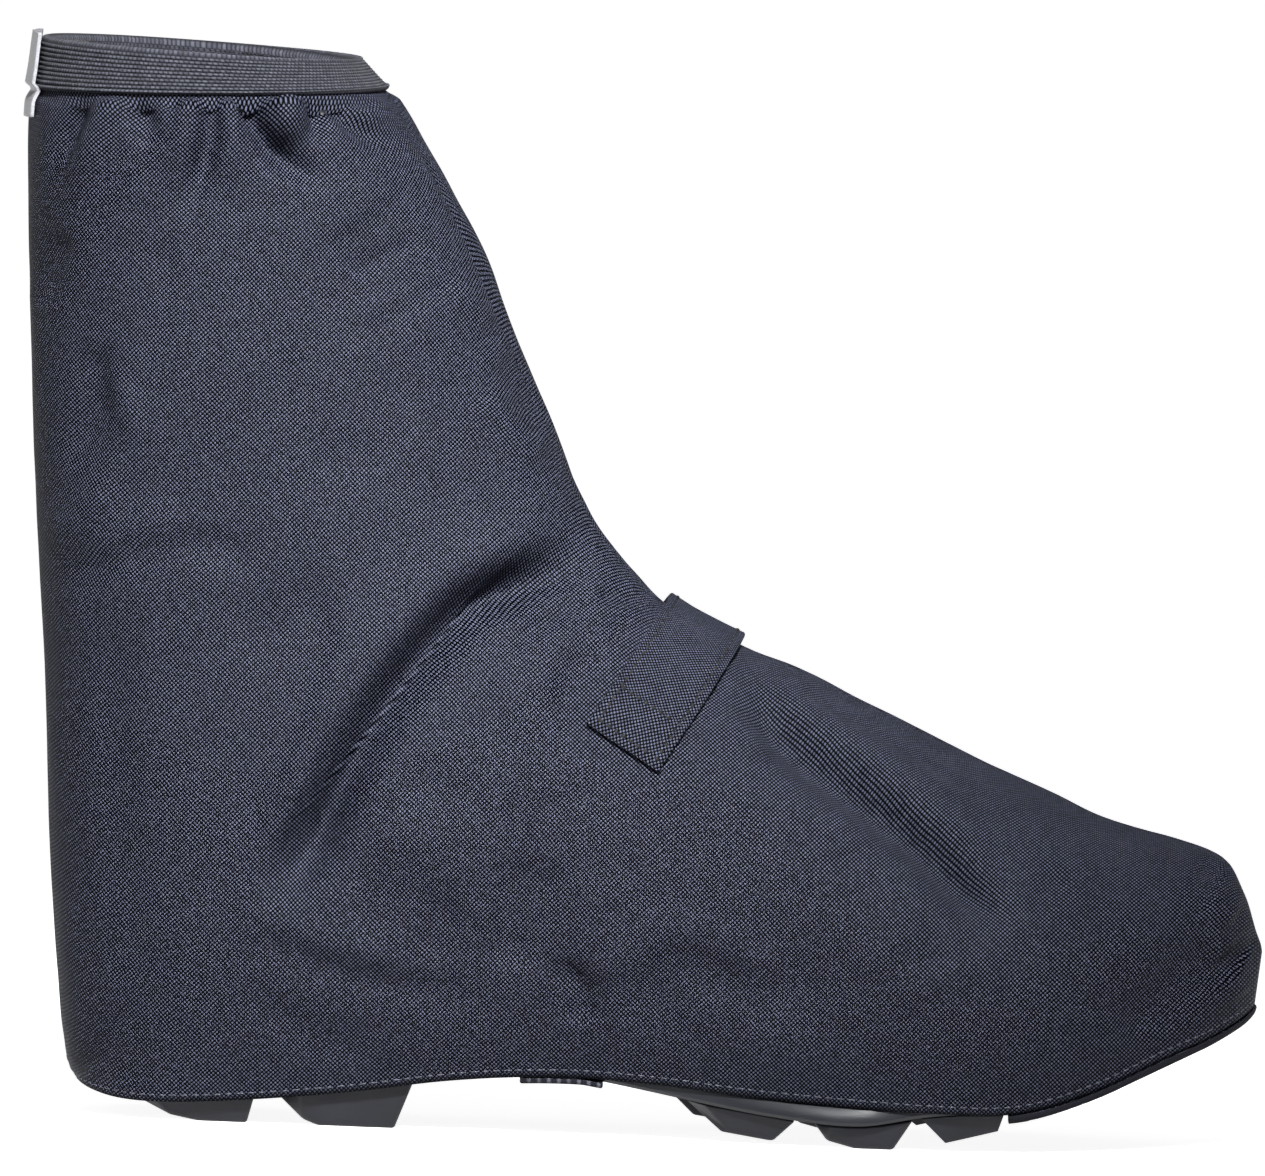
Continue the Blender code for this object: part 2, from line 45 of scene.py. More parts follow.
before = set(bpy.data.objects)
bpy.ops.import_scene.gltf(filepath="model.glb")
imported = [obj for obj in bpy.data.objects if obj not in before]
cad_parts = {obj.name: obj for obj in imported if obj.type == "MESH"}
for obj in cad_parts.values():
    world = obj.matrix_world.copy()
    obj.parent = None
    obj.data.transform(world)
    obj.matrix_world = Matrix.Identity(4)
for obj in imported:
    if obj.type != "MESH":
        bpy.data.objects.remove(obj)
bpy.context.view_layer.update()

# Sizes of the solids that the dressing follows.
LENGTH = 0.3175
UPPER_HEIGHT = 0.2672
INSTEP_HEIGHT = 0.1335
BALL_WIDTH = 0.107
WALL = 0.0012
TOE_RADIUS = 0.075
HEEL_RADIUS = 0.030
GAP = 0.0003
BAND_THICKNESS = 0.0010
PATCH_LENGTH = 0.027
PATCH_HEIGHT = 0.0125
TAB_WIDTH = 0.024
TAB_HEIGHT = 0.0210
TAB_RISE = 0.0020
TAB_THICKNESS = 0.0008
STRAP_WIDTH = 0.0217
STRAP_THICKNESS = 0.0011
STRAP_SLACK = 0.0018
STRAP_END_LENGTH = 0.0125
STRAP_END_THICKNESS = 0.0018
STRAP_LEAN = math.radians(58.0)
STRAP_CROSSING = 0.549
STRAP_DROP_OUT = 0.0352
STRAP_DROP_IN = 0.046
PLATE_THICKNESS = 0.0055
PLATE_TOE_INSET = 0.0065
PLATE_HEEL_INSET = 0.0015
UNDERLAY_THICKNESS = 0.0018
UNDERLAY_BACK = 0.804
ARCH_STRAP_THICKNESS = 0.0013
ARCH_STRAP_WIDTH = 0.0208
ARCH_STRAP_MIDDLE = 0.452

# Lattice of the fabric: rows between two neighbouring sections, columns in one panel.
ROWS_PER_SECTION = 8
PANEL_COLUMNS = 92

Section = namedtuple(
    "Section", "name front_x front_z back_x back_z width centre crown hem_out hem_in"
)
SECTIONS = [
    Section("toe seam", 1.0000, 0.375, 0.9959, 0.279, 0.84, 0.080, 2.1, 0.90, 0.92),
    Section("toe edge", 0.9987, 0.393, 0.9943, 0.272, 0.84, 0.080, 2.1, 0.90, 0.92),
    Section("toe front", 0.9937, 0.429, 0.9896, 0.261, 0.84, 0.078, 2.1, 0.90, 0.92),
    Section("toe middle", 0.9846, 0.484, 0.9802, 0.246, 0.85, 0.074, 2.1, 0.90, 0.92),
    Section("toe box", 0.9657, 0.550, 0.9581, 0.217, 0.87, 0.065, 2.1, 0.90, 0.92),
    Section("toe root", 0.9279, 0.584, 0.9266, 0.184, 0.89, 0.050, 2.1, 0.90, 0.92),
    Section("toe spring", 0.8721, 0.618, 0.8696, 0.119, 0.93, 0.030, 2.1, 0.90, 0.92),
    Section("ball front", 0.8240, 0.663, 0.8130, 0.077, 0.98, 0.015, 2.1, 0.91, 0.92),
    Section("ball", 0.7750, 0.716, 0.7560, 0.072, 1.00, 0.000, 2.1, 0.91, 0.92),
    Section("ball back", 0.7120, 0.784, 0.6800, 0.078, 0.99, -0.015, 2.1, 0.90, 0.88),
    Section("waist front", 0.6480, 0.850, 0.5980, 0.090, 0.935, -0.030, 2.0, 0.87, 0.81),
    Section("waist", 0.5840, 0.914, 0.5200, 0.105, 0.87, -0.040, 2.0, 0.84, 0.76),
    Section("instep", 0.5230, 0.985, 0.4440, 0.110, 0.825, -0.040, 2.0, 0.81, 0.74),
    Section("bend front", 0.4945, 1.046, 0.3685, 0.097, 0.805, -0.030, 2.0, 0.80, 0.75),
    Section("bend", 0.4755, 1.095, 0.2865, 0.067, 0.795, -0.020, 2.1, 0.80, 0.77),
    Section("heel seat", 0.4615, 1.139, 0.2050, 0.045, 0.785, -0.010, 2.1, 0.80, 0.79),
    Section("heel", 0.4515, 1.178, 0.1320, 0.0345, 0.78, 0.0, 2.2, 0.80, 0.80),
    Section("heel turn", 0.4465, 1.200, 0.0945, 0.040, 0.775, 0.0, 2.2, 0.80, 0.80),
    Section("heel corner", 0.4430, 1.218, 0.0690, 0.064, 0.77, 0.0, 2.2, 0.80, 0.80),
    Section("heel back", 0.4370, 1.254, 0.0585, 0.142, 0.76, 0.0, 2.2, 0.80, 0.80),
    Section("counter low", 0.4270, 1.310, 0.0515, 0.270, 0.75, 0.0, 2.2, 0.80, 0.80),
    Section("counter", 0.4140, 1.377, 0.0455, 0.412, 0.745, 0.0, 2.2, 0.80, 0.80),
    Section("counter high", 0.4000, 1.457, 0.0397, 0.600, 0.74, 0.0, 2.3, 0.80, 0.80),
    Section("ankle", 0.3850, 1.539, 0.0330, 0.832, 0.74, 0.0, 2.3, 0.80, 0.80),
    Section("shin low", 0.3680, 1.631, 0.0236, 1.086, 0.75, 0.0, 2.3, 0.80, 0.80),
    Section("shin", 0.3510, 1.707, 0.0167, 1.319, 0.765, 0.0, 2.3, 0.80, 0.80),
    Section("shin high", 0.3345, 1.773, 0.0113, 1.521, 0.775, 0.0, 2.3, 0.80, 0.80),
    Section("shaft", 0.3180, 1.835, 0.0070, 1.709, 0.775, 0.0, 2.3, 0.80, 0.80),
    Section("below band", 0.2985, 1.909, 0.0055, 1.880, 0.765, 0.0, 2.2, 0.80, 0.80),
    Section("band low", 0.2855, 1.928, 0.0115, 1.910, 0.720, 0.0, 2.2, 0.80, 0.80),
    Section("collar", 0.2640, 1.978, 0.0165, 2.000, 0.70, 0.0, 2.2, 0.80, 0.80),
]
SECTION_NAMES = [row.name for row in SECTIONS]
HEEL_CORNER = SECTION_NAMES.index("heel corner")
BAND_LOW = SECTION_NAMES.index("band low")

# How far the front seam stands off the ridge onto the outer side, as a share of a panel.
SeamShift = namedtuple("SeamShift", "section share")
SEAM_SHIFTS = [
    SeamShift("toe seam", 0.0),
    SeamShift("toe box", 0.0),
    SeamShift("ball", 0.005),
    SeamShift("waist", 0.010),
    SeamShift("bend", 0.020),
    SeamShift("counter", 0.050),
    SeamShift("ankle", 0.085),
    SeamShift("shin", 0.095),
    SeamShift("shaft", 0.085),
    SeamShift("collar", 0.060),
]

# How far the sole plate stands below the hem: x as a share of LENGTH, drop as a share of
# PLATE_THICKNESS. Ledge is how far its rim stands out from under the hem.
PlateDrop = namedtuple("PlateDrop", "x drop ledge")
PLATE_DROPS = [
    PlateDrop(0.060, -0.20, 0.0),
    PlateDrop(0.300, -0.22, 0.0),
    PlateDrop(0.430, -0.22, 0.0),
    PlateDrop(0.480, 0.08, 0.0),
    PlateDrop(0.550, 0.52, 0.0),
    PlateDrop(0.640, 0.84, 0.0022),
    PlateDrop(0.690, 0.80, 0.0018),
    PlateDrop(0.735, 0.25, 0.0),
    PlateDrop(0.775, 0.00, 0.0),
    PlateDrop(1.000, 0.00, 0.0),
]

# Folds of the fabric, as lines in the side view in millimetres along and up. Depth is in
# millimetres, below zero for a trough. Width is the half width in millimetres. Lean makes
# one flank steeper: above zero the flank on the left of the line's own direction.
Fold = namedtuple("Fold", "name depth width lean line")
OUTER_FOLDS = [
    Fold("ankle crease", -10.0, 5.5, 0.1, [(-7, 144), (-14, 142), (-25, 139), (-35, 134), (-44, 129), (-52, 120), (-59, 111), (-66, 100), (-71, 90), (-76, 79), (-80, 69), (-86, 60), (-93, 52)]),
    Fold("ankle overhang", 3.2, 8.0, 0.0, [(-13, 151), (-28, 147), (-43, 141), (-52, 133), (-61, 121), (-69, 107), (-76, 92), (-82, 78), (-88, 65)]),
    Fold("ankle overhang crest", 1.5, 3.0, 0.0, [(-70, 135), (-73, 122), (-78, 107), (-83, 89), (-89, 73), (-94, 60)]),
    Fold("foot swell", 2.8, 14.0, 0.0, [(-20, 128), (-34, 118), (-44, 106), (-51, 90), (-55, 73), (-60, 57)]),
    Fold("vamp fold", -8.0, 5.0, 0.15, [(25, 118), (32, 109), (41, 100), (53, 92), (64, 84), (75, 76), (83, 67), (90, 61), (97, 56)]),
    Fold("vamp fold crest", 2.0, 6.0, 0.0, [(29, 120), (41, 107), (54, 99), (68, 90), (80, 80), (90, 68)]),
    Fold("vamp ridge line low", -1.0, 2.0, 0.0, [(35, 113), (48, 109), (61, 102), (75, 95), (88, 87)]),
    Fold("vamp ridge line high", -0.8, 1.6, 0.0, [(41, 114), (56, 109), (69, 102), (80, 96), (89, 90)]),
    Fold("collar fold 1", -5.1, 3.0, 0.0, [(-130, 256), (-128, 250), (-126, 242)]),
    Fold("collar fold 2", -3.2, 2.2, 0.0, [(-121, 256), (-120, 251)]),
    Fold("collar fold 3", -5.5, 2.6, 0.2, [(-111, 256), (-111, 246), (-113, 235), (-118, 223)]),
    Fold("collar fold 4", -7.8, 2.8, -0.3, [(-104, 256), (-101, 249), (-96, 243), (-89, 238), (-77, 234)]),
    Fold("collar fold 5", -5.1, 2.6, 0.0, [(-86, 257), (-84, 251), (-86, 245)]),
    Fold("collar fold 6", -4.2, 2.6, 0.0, [(-82, 257), (-74, 249), (-62, 244)]),
    Fold("collar fold 7", -2.8, 2.0, 0.0, [(-77, 257), (-69, 254)]),
    Fold("collar pocket", 5.1, 5.0, 0.0, [(-93, 256), (-92, 249), (-89, 244)]),
    Fold("collar crest 1", 3.2, 4.0, 0.0, [(-116, 256), (-117, 246), (-121, 231)]),
    Fold("collar crest 2", 2.8, 4.0, 0.0, [(-106, 255), (-105, 244), (-107, 230)]),
    Fold("collar crest 3", 2.8, 3.5, 0.0, [(-137, 254), (-141, 240), (-149, 226)]),
    Fold("collar crest 4", 2.3, 3.0, 0.0, [(-78, 257), (-67, 249)]),
    Fold("collar fold 0", -3.2, 2.6, 0.0, [(-143, 255), (-147, 245), (-151, 231)]),
    Fold("back pinch 1", -2.5, 4.0, 0.2, [(-147, 222), (-149, 213), (-152, 203)]),
    Fold("back pinch 2", -2.8, 5.0, 0.0, [(-139, 194), (-137, 182), (-139, 172), (-145, 162)]),
    Fold("back crest 1", 1.5, 3.0, 0.0, [(-135, 190), (-131, 180), (-126, 170)]),
    Fold("back crest 2", 2.2, 4.0, 0.0, [(-148, 142), (-142, 148), (-136, 154), (-133, 160)]),
    Fold("back fold line", -2.2, 2.6, 0.3, [(-145, 136), (-135, 138), (-124, 143), (-113, 145), (-103, 144), (-92, 141)]),
    Fold("back fold crest", 1.5, 4.0, 0.0, [(-143, 142), (-133, 144), (-123, 148), (-111, 150)]),
    Fold("back column edge", -1.0, 5.0, 0.0, [(-132, 130), (-131, 105), (-129, 80), (-127, 55), (-124, 30)]),
    Fold("heel hollow", -2.0, 9.0, 0.0, [(-102, 121), (-87, 128), (-75, 131)]),
    Fold("shin hollow", -1.6, 10.0, 0.0, [(-76, 228), (-68, 217), (-64, 205)]),
    Fold("shin line 1", -1.1, 2.6, 0.0, [(-77, 213), (-67, 217), (-57, 223)]),
    Fold("shin line 2", -1.1, 2.6, 0.0, [(-77, 197), (-65, 202), (-53, 210), (-45, 211)]),
    Fold("shin front crest 1", 1.5, 3.0, 0.0, [(-51, 212), (-45, 207), (-39, 200)]),
    Fold("shin front crest 2", 1.8, 3.5, 0.0, [(-41, 185), (-35, 176), (-25, 167)]),
    Fold("shin front hollow", -1.5, 4.0, 0.0, [(-37, 194), (-32, 186), (-24, 176)]),
    Fold("shin spot", -1.1, 5.0, 0.0, [(-84, 166), (-74, 168), (-65, 167)]),
    Fold("shaft spot", -0.9, 4.0, 0.0, [(-126, 215), (-118, 214)]),
    Fold("strap pucker 1", -2.0, 2.4, 0.0, [(-42, 126), (-35, 123), (-30, 123), (-20, 130), (-11, 136)]),
    Fold("strap pucker 2", -1.2, 2.0, 0.0, [(-11, 136), (-4, 134), (3, 135)]),
    Fold("strap pucker 3", -1.9, 4.0, 0.0, [(-10, 124), (-16, 117), (-18, 108), (-16, 97)]),
    Fold("strap pucker 4", -1.0, 3.0, 0.0, [(1, 94), (14, 105), (23, 117)]),
    Fold("strap pucker 5", 1.1, 3.0, 0.0, [(-11, 93), (-18, 89), (-22, 84)]),
    Fold("waist fold 1", -1.6, 3.0, 0.0, [(-27, 94), (-28, 76), (-30, 59), (-33, 36)]),
    Fold("waist hollow", -1.8, 6.0, 0.0, [(-23, 71), (-25, 56), (-28, 40)]),
    Fold("waist fold 2", -1.5, 4.5, 0.0, [(-44, 59), (-47, 50), (-50, 41)]),
    Fold("waist bracket", -3.2, 3.0, 0.35, [(-18, 45), (-12, 40), (-9, 34), (-11, 27)]),
    Fold("waist crest", 1.2, 4.0, 0.0, [(-8, 67), (-9, 52), (-6, 38)]),
    Fold("ankle spot", -1.1, 6.0, 0.0, [(-60, 86), (-48, 86), (-37, 84)]),
    Fold("ball hollow", -2.2, 10.0, 0.0, [(-2, 27), (7, 39), (16, 46), (34, 40), (56, 37)]),
    Fold("ball crest", 1.5, 5.0, 0.0, [(-6, 38), (3, 48), (12, 54), (26, 48), (43, 42)]),
    Fold("ball fold", -1.1, 4.0, 0.0, [(94, 56), (78, 50), (63, 41), (54, 35)]),
    Fold("ball crest 2", 1.2, 5.0, 0.0, [(93, 52), (78, 45), (65, 37)]),
    Fold("side ring", -0.6, 3.0, 0.0, [(26, 86), (28, 94), (35, 98), (43, 92), (45, 84)]),
    Fold("heel low fold", -1.5, 4.0, 0.0, [(-98, 50), (-85, 44), (-69, 38), (-51, 36), (-35, 33)]),
    Fold("heel low crest", 1.2, 6.0, 0.0, [(-96, 55), (-82, 48), (-64, 43), (-47, 42)]),
    Fold("heel low fold 2", -1.0, 4.0, 0.0, [(-98, 35), (-81, 25), (-63, 17)]),
    Fold("toe hollow", -2.8, 8.0, 0.0, [(122, 28), (134, 38), (142, 46), (153, 51)]),
    Fold("toe dent", -1.9, 4.0, 0.0, [(150, 51), (155, 48)]),
    Fold("toe top dent", -1.5, 3.5, 0.0, [(142, 73), (148, 69)]),
    Fold("toe crest", 1.2, 4.0, 0.0, [(144, 64), (152, 59)]),
    Fold("toe low crest", 1.2, 3.0, 0.0, [(150, 44), (154, 39)]),
    Fold("toe line", -1.0, 3.5, 0.0, [(109, 71), (104, 65), (100, 57)]),
]
INNER_FOLDS = [
    Fold("ankle crease", -6.5, 5.5, 0.1, [(-7, 144), (-16, 141), (-30, 135), (-43, 125), (-54, 112), (-63, 98), (-71, 84), (-80, 70)]),
    Fold("ankle overhang", 2.8, 8.0, 0.0, [(-18, 150), (-36, 142), (-52, 129), (-64, 112), (-74, 93), (-84, 76)]),
    Fold("foot swell", 2.2, 14.0, 0.0, [(-24, 124), (-38, 110), (-48, 92), (-54, 72)]),
    Fold("vamp fold", -4.2, 5.0, 0.15, [(22, 116), (36, 104), (52, 94), (66, 84), (80, 72)]),
    Fold("vamp fold crest", 1.5, 6.0, 0.0, [(27, 120), (44, 107), (60, 97), (74, 86)]),
    Fold("collar fold 1", -4.2, 2.8, 0.0, [(-134, 256), (-131, 247), (-130, 238)]),
    Fold("collar fold 2", -5.5, 3.0, 0.0, [(-121, 256), (-119, 243), (-122, 228)]),
    Fold("collar crest 1", 2.8, 4.0, 0.0, [(-127, 256), (-125, 245), (-126, 232)]),
    Fold("collar fold 3", -4.6, 2.6, 0.0, [(-109, 256), (-105, 245), (-97, 236)]),
    Fold("collar fold 4", -6.1, 2.8, 0.2, [(-96, 257), (-91, 247), (-82, 240)]),
    Fold("collar crest 2", 3.2, 4.0, 0.0, [(-103, 256), (-98, 246), (-90, 238)]),
    Fold("collar fold 5", -3.8, 2.4, 0.0, [(-84, 257), (-78, 250), (-68, 245)]),
    Fold("back pinch 1", -2.2, 4.0, 0.0, [(-141, 206), (-138, 194), (-141, 180)]),
    Fold("back crest 1", 1.8, 4.0, 0.0, [(-148, 150), (-140, 158), (-133, 168)]),
    Fold("back fold line", -2.0, 3.0, 0.2, [(-146, 132), (-132, 136), (-116, 140), (-100, 138)]),
    Fold("heel hollow", -1.8, 9.0, 0.0, [(-104, 112), (-92, 120), (-80, 124)]),
    Fold("shin hollow", -1.5, 10.0, 0.0, [(-84, 218), (-74, 206), (-68, 192)]),
    Fold("shin line 1", -1.1, 3.0, 0.0, [(-82, 204), (-70, 209), (-58, 216)]),
    Fold("strap pucker 1", -1.6, 3.0, 0.0, [(-34, 124), (-24, 126), (-14, 132)]),
    Fold("waist fold 1", -1.6, 3.5, 0.0, [(-22, 90), (-26, 72), (-28, 54), (-32, 38)]),
    Fold("waist fold 2", -1.5, 4.5, 0.0, [(-42, 62), (-46, 50), (-50, 40)]),
    Fold("ball hollow", -1.8, 9.0, 0.0, [(4, 34), (18, 42), (36, 40), (54, 36)]),
    Fold("ball fold", -1.1, 4.0, 0.0, [(90, 54), (74, 48), (60, 40)]),
    Fold("heel low fold", -1.4, 4.0, 0.0, [(-96, 48), (-80, 42), (-62, 38), (-44, 36)]),
    Fold("toe hollow", -2.0, 8.0, 0.0, [(118, 30), (130, 38), (142, 46)]),
    Fold("toe line", -1.0, 3.5, 0.0, [(108, 70), (102, 63), (99, 55)]),
]


def along(share):
    """A distance along the shoe from a share of its length."""
    return (share - 0.5) * LENGTH


def height(share):
    """A height from a share: the foot up to 1, and the shaft from 1 to 2."""
    if share <= 1.0:
        return share * INSTEP_HEIGHT
    return INSTEP_HEIGHT + (share - 1.0) * (UPPER_HEIGHT - INSTEP_HEIGHT)


def curve_through(places, values, place):
    """The value at a place on a smooth curve through the given values at rising places."""
    last = len(places) - 1
    place = min(max(place, places[0]), places[-1])
    i = max(k for k in range(last) if places[k] <= place)

    def slope(k):
        low, high = max(k - 1, 0), min(k + 1, last)
        return (values[high] - values[low]) / (places[high] - places[low])

    span = places[i + 1] - places[i]
    t = (place - places[i]) / span
    rest = 1.0 - t
    return (
        values[i] * rest * rest * (1.0 + 2.0 * t)
        + slope(i) * span * t * rest * rest
        + values[i + 1] * t * t * (3.0 - 2.0 * t)
        - slope(i + 1) * span * t * t * rest
    )


def section_places():
    """Where each section lies: the mean distance walked along the front and back lines."""
    places = [0.0]
    for a, b in zip(SECTIONS, SECTIONS[1:]):
        front = math.hypot(b.front_x - a.front_x, b.front_z - a.front_z)
        back = math.hypot(b.back_x - a.back_x, b.back_z - a.back_z)
        places.append(places[-1] + (front + back) / 2.0)
    return places


PLACES = section_places()
COLUMNS = {name: [getattr(row, name) for row in SECTIONS] for name in Section._fields[1:]}
PLACE_CORNER = PLACES[HEEL_CORNER]
PLACE_BAND = PLACES[BAND_LOW]
PLACE_TOP = PLACES[-1]
ALL_ROWS = (len(SECTIONS) - 1) * ROWS_PER_SECTION
FOOT_ROWS = HEEL_CORNER * ROWS_PER_SECTION
ALL_COLUMNS = 2 * PANEL_COLUMNS


def row_place(row):
    """The place of a row of the lattice, counted from the toe seam."""
    i = min(int(row / ROWS_PER_SECTION), len(SECTIONS) - 2)
    return PLACES[i] + (PLACES[i + 1] - PLACES[i]) * (row / ROWS_PER_SECTION - i)


@cache
def column(name, place):
    """A column of the section table at any place between the toe and the collar."""
    return curve_through(PLACES, COLUMNS[name], place)


def rounding(distance, radius):
    """How wide a round end has become at a distance from its tip: 0 at the tip, then 1."""
    share = min(max(distance / radius, 0.0), 1.0)
    return math.sqrt(1.0 - (1.0 - share) ** 2)


@cache
def section_frame(place):
    """Front point, back point, half width, centre and crown of the section at a place."""
    front = Vector((along(column("front_x", place)), 0.0, height(column("front_z", place))))
    back = Vector((along(column("back_x", place)), 0.0, height(column("back_z", place))))
    tip = along(SECTIONS[0].back_x)
    half = column("width", place) * BALL_WIDTH / 2.0 * rounding(tip - back.x, TOE_RADIUS)
    centre = column("centre", place) * BALL_WIDTH / 2.0
    return front, back, half, centre, column("crown", place)


@cache
def hem_share(place, side):
    """Half width of the hem as a share of the section's: nothing from the heel corner up."""
    if place >= PLACE_CORNER:
        return 0.0
    corner = along(SECTIONS[HEEL_CORNER].back_x)
    behind = along(column("back_x", place)) - corner
    name = "hem_in" if side > 0 else "hem_out"
    return column(name, min(place, PLACE_CORNER)) * rounding(behind, HEEL_RADIUS)


def upper_point(place, around):
    """A point on the plain upper: around is 0 on the ridge, -1 on the outer hem, +1 inner."""
    front, back, half, centre, crown = section_frame(place)
    side = 1.0 if around > 0 else -1.0
    power = 2.0 / crown
    end = math.pi - math.asin(hem_share(place, side) ** (1.0 / power))
    angle = abs(around) * end

    def depth(at):
        c = math.cos(at)
        return (1.0 - math.copysign(abs(c) ** power, c)) / 2.0

    point = front.lerp(back, depth(angle) / depth(end))
    point.y = centre + side * half * abs(math.sin(angle)) ** power
    return point


def upper_normal(place, around):
    """The outward direction of the plain upper at a point."""
    step_place, step_around = PLACE_TOP * 2e-3, 5e-3
    low, high = max(place - step_place, 0.0), min(place + step_place, PLACE_TOP)
    left, right = max(around - step_around, -1.0), min(around + step_around, 1.0)
    along_panel = upper_point(high, around) - upper_point(low, around)
    across_panel = upper_point(place, right) - upper_point(place, left)
    return across_panel.cross(along_panel).normalized()


def off_upper(place, around, distance):
    """A point at a distance outside the plain upper, or inside where it is below zero."""
    return upper_point(place, around) + upper_normal(place, around) * distance


def solve(low, high, wrong):
    """The number between low and high where wrong changes from below zero to above it."""
    for _ in range(40):
        middle = (low + high) / 2.0
        if wrong(middle) < 0:
            low = middle
        else:
            high = middle
    return (low + high) / 2.0


@cache
def hem_place(x):
    """The place whose hem lies at a distance x along the shoe."""
    return solve(0.0, PLACE_CORNER, lambda place: x - along(column("back_x", place)))


def hem_at(x, side):
    """The hem's point on one side, at a distance x along the shoe."""
    return upper_point(hem_place(x), side)


def plate_row(x, name):
    """A column of the sole plate's table at a distance x along the shoe."""
    places = [row.x for row in PLATE_DROPS]
    return curve_through(places, [getattr(row, name) for row in PLATE_DROPS], x / LENGTH + 0.5)


def plate_bottom(x):
    """Height of the sole plate's underside at a distance x along the shoe."""
    return hem_at(x, -1).z - plate_row(x, "drop") * PLATE_THICKNESS


@cache
def seam_around(place):
    """Where the front seam lies on a row: below zero, on the outer side of the ridge."""
    places = [PLACES[SECTION_NAMES.index(row.section)] for row in SEAM_SHIFTS]
    return -max(0.0, curve_through(places, [row.share for row in SEAM_SHIFTS], place))


def smooth_step(share):
    """Goes smoothly from 0 to 1 as share does."""
    share = np.clip(share, 0.0, 1.0)
    return share * share * (3.0 - 2.0 * share)


def line_distance(points, line):
    """Signed distance of side-view points to a line, and the share of the line walked."""
    corners = np.array(line, float)
    runs = corners[1:] - corners[:-1]
    lengths = np.hypot(runs[:, 0], runs[:, 1])
    walked = np.concatenate([[0.0], np.cumsum(lengths)])
    best = np.full(points.shape[:-1], 1e9)
    signed = np.zeros(points.shape[:-1])
    share = np.zeros(points.shape[:-1])
    for corner, run, length, start in zip(corners, runs, lengths, walked):
        offset = points - corner
        t = np.clip((offset @ run) / length**2, 0.0, 1.0)
        gap = offset - t[..., None] * run
        distance = np.hypot(gap[..., 0], gap[..., 1])
        nearer = distance < best
        left = np.where(run[0] * offset[..., 1] - run[1] * offset[..., 0] >= 0, 1.0, -1.0)
        best = np.where(nearer, distance, best)
        signed = np.where(nearer, distance * left, signed)
        share = np.where(nearer, (start + t * length) / walked[-1], share)
    return signed, share


def smoothed(line, steps=3):
    """The line with its corners cut, so that a fold bends and doesn't break."""
    points = [Vector((x, z)) for x, z in line]
    for _ in range(steps):
        if len(points) < 3:
            break
        cut = [points[0]]
        for a, b in zip(points, points[1:]):
            cut += [a.lerp(b, 0.25), a.lerp(b, 0.75)]
        points = [*cut, points[-1]]
    return [(p.x, p.y) for p in points]


def fold_relief(side_view, folds):
    """Height in millimetres of all the given folds at side-view points in millimetres."""
    relief = np.zeros(side_view.shape[:-1])
    for fold in folds:
        signed, share = line_distance(side_view, smoothed(fold.line))
        width = fold.width * np.where(signed > 0, 1.0 - fold.lean, 1.0 + fold.lean)
        ends = smooth_step(share / 0.22) * smooth_step((1.0 - share) / 0.22)
        open_end = fold.line[0][1] > 250
        if open_end:
            ends = smooth_step((1.0 - share) / 0.6)
        relief += fold.depth * ends * np.exp(-((signed / width) ** 2))
    return relief


Lattice = namedtuple("Lattice", "plain points normals relief across weave hem_up")


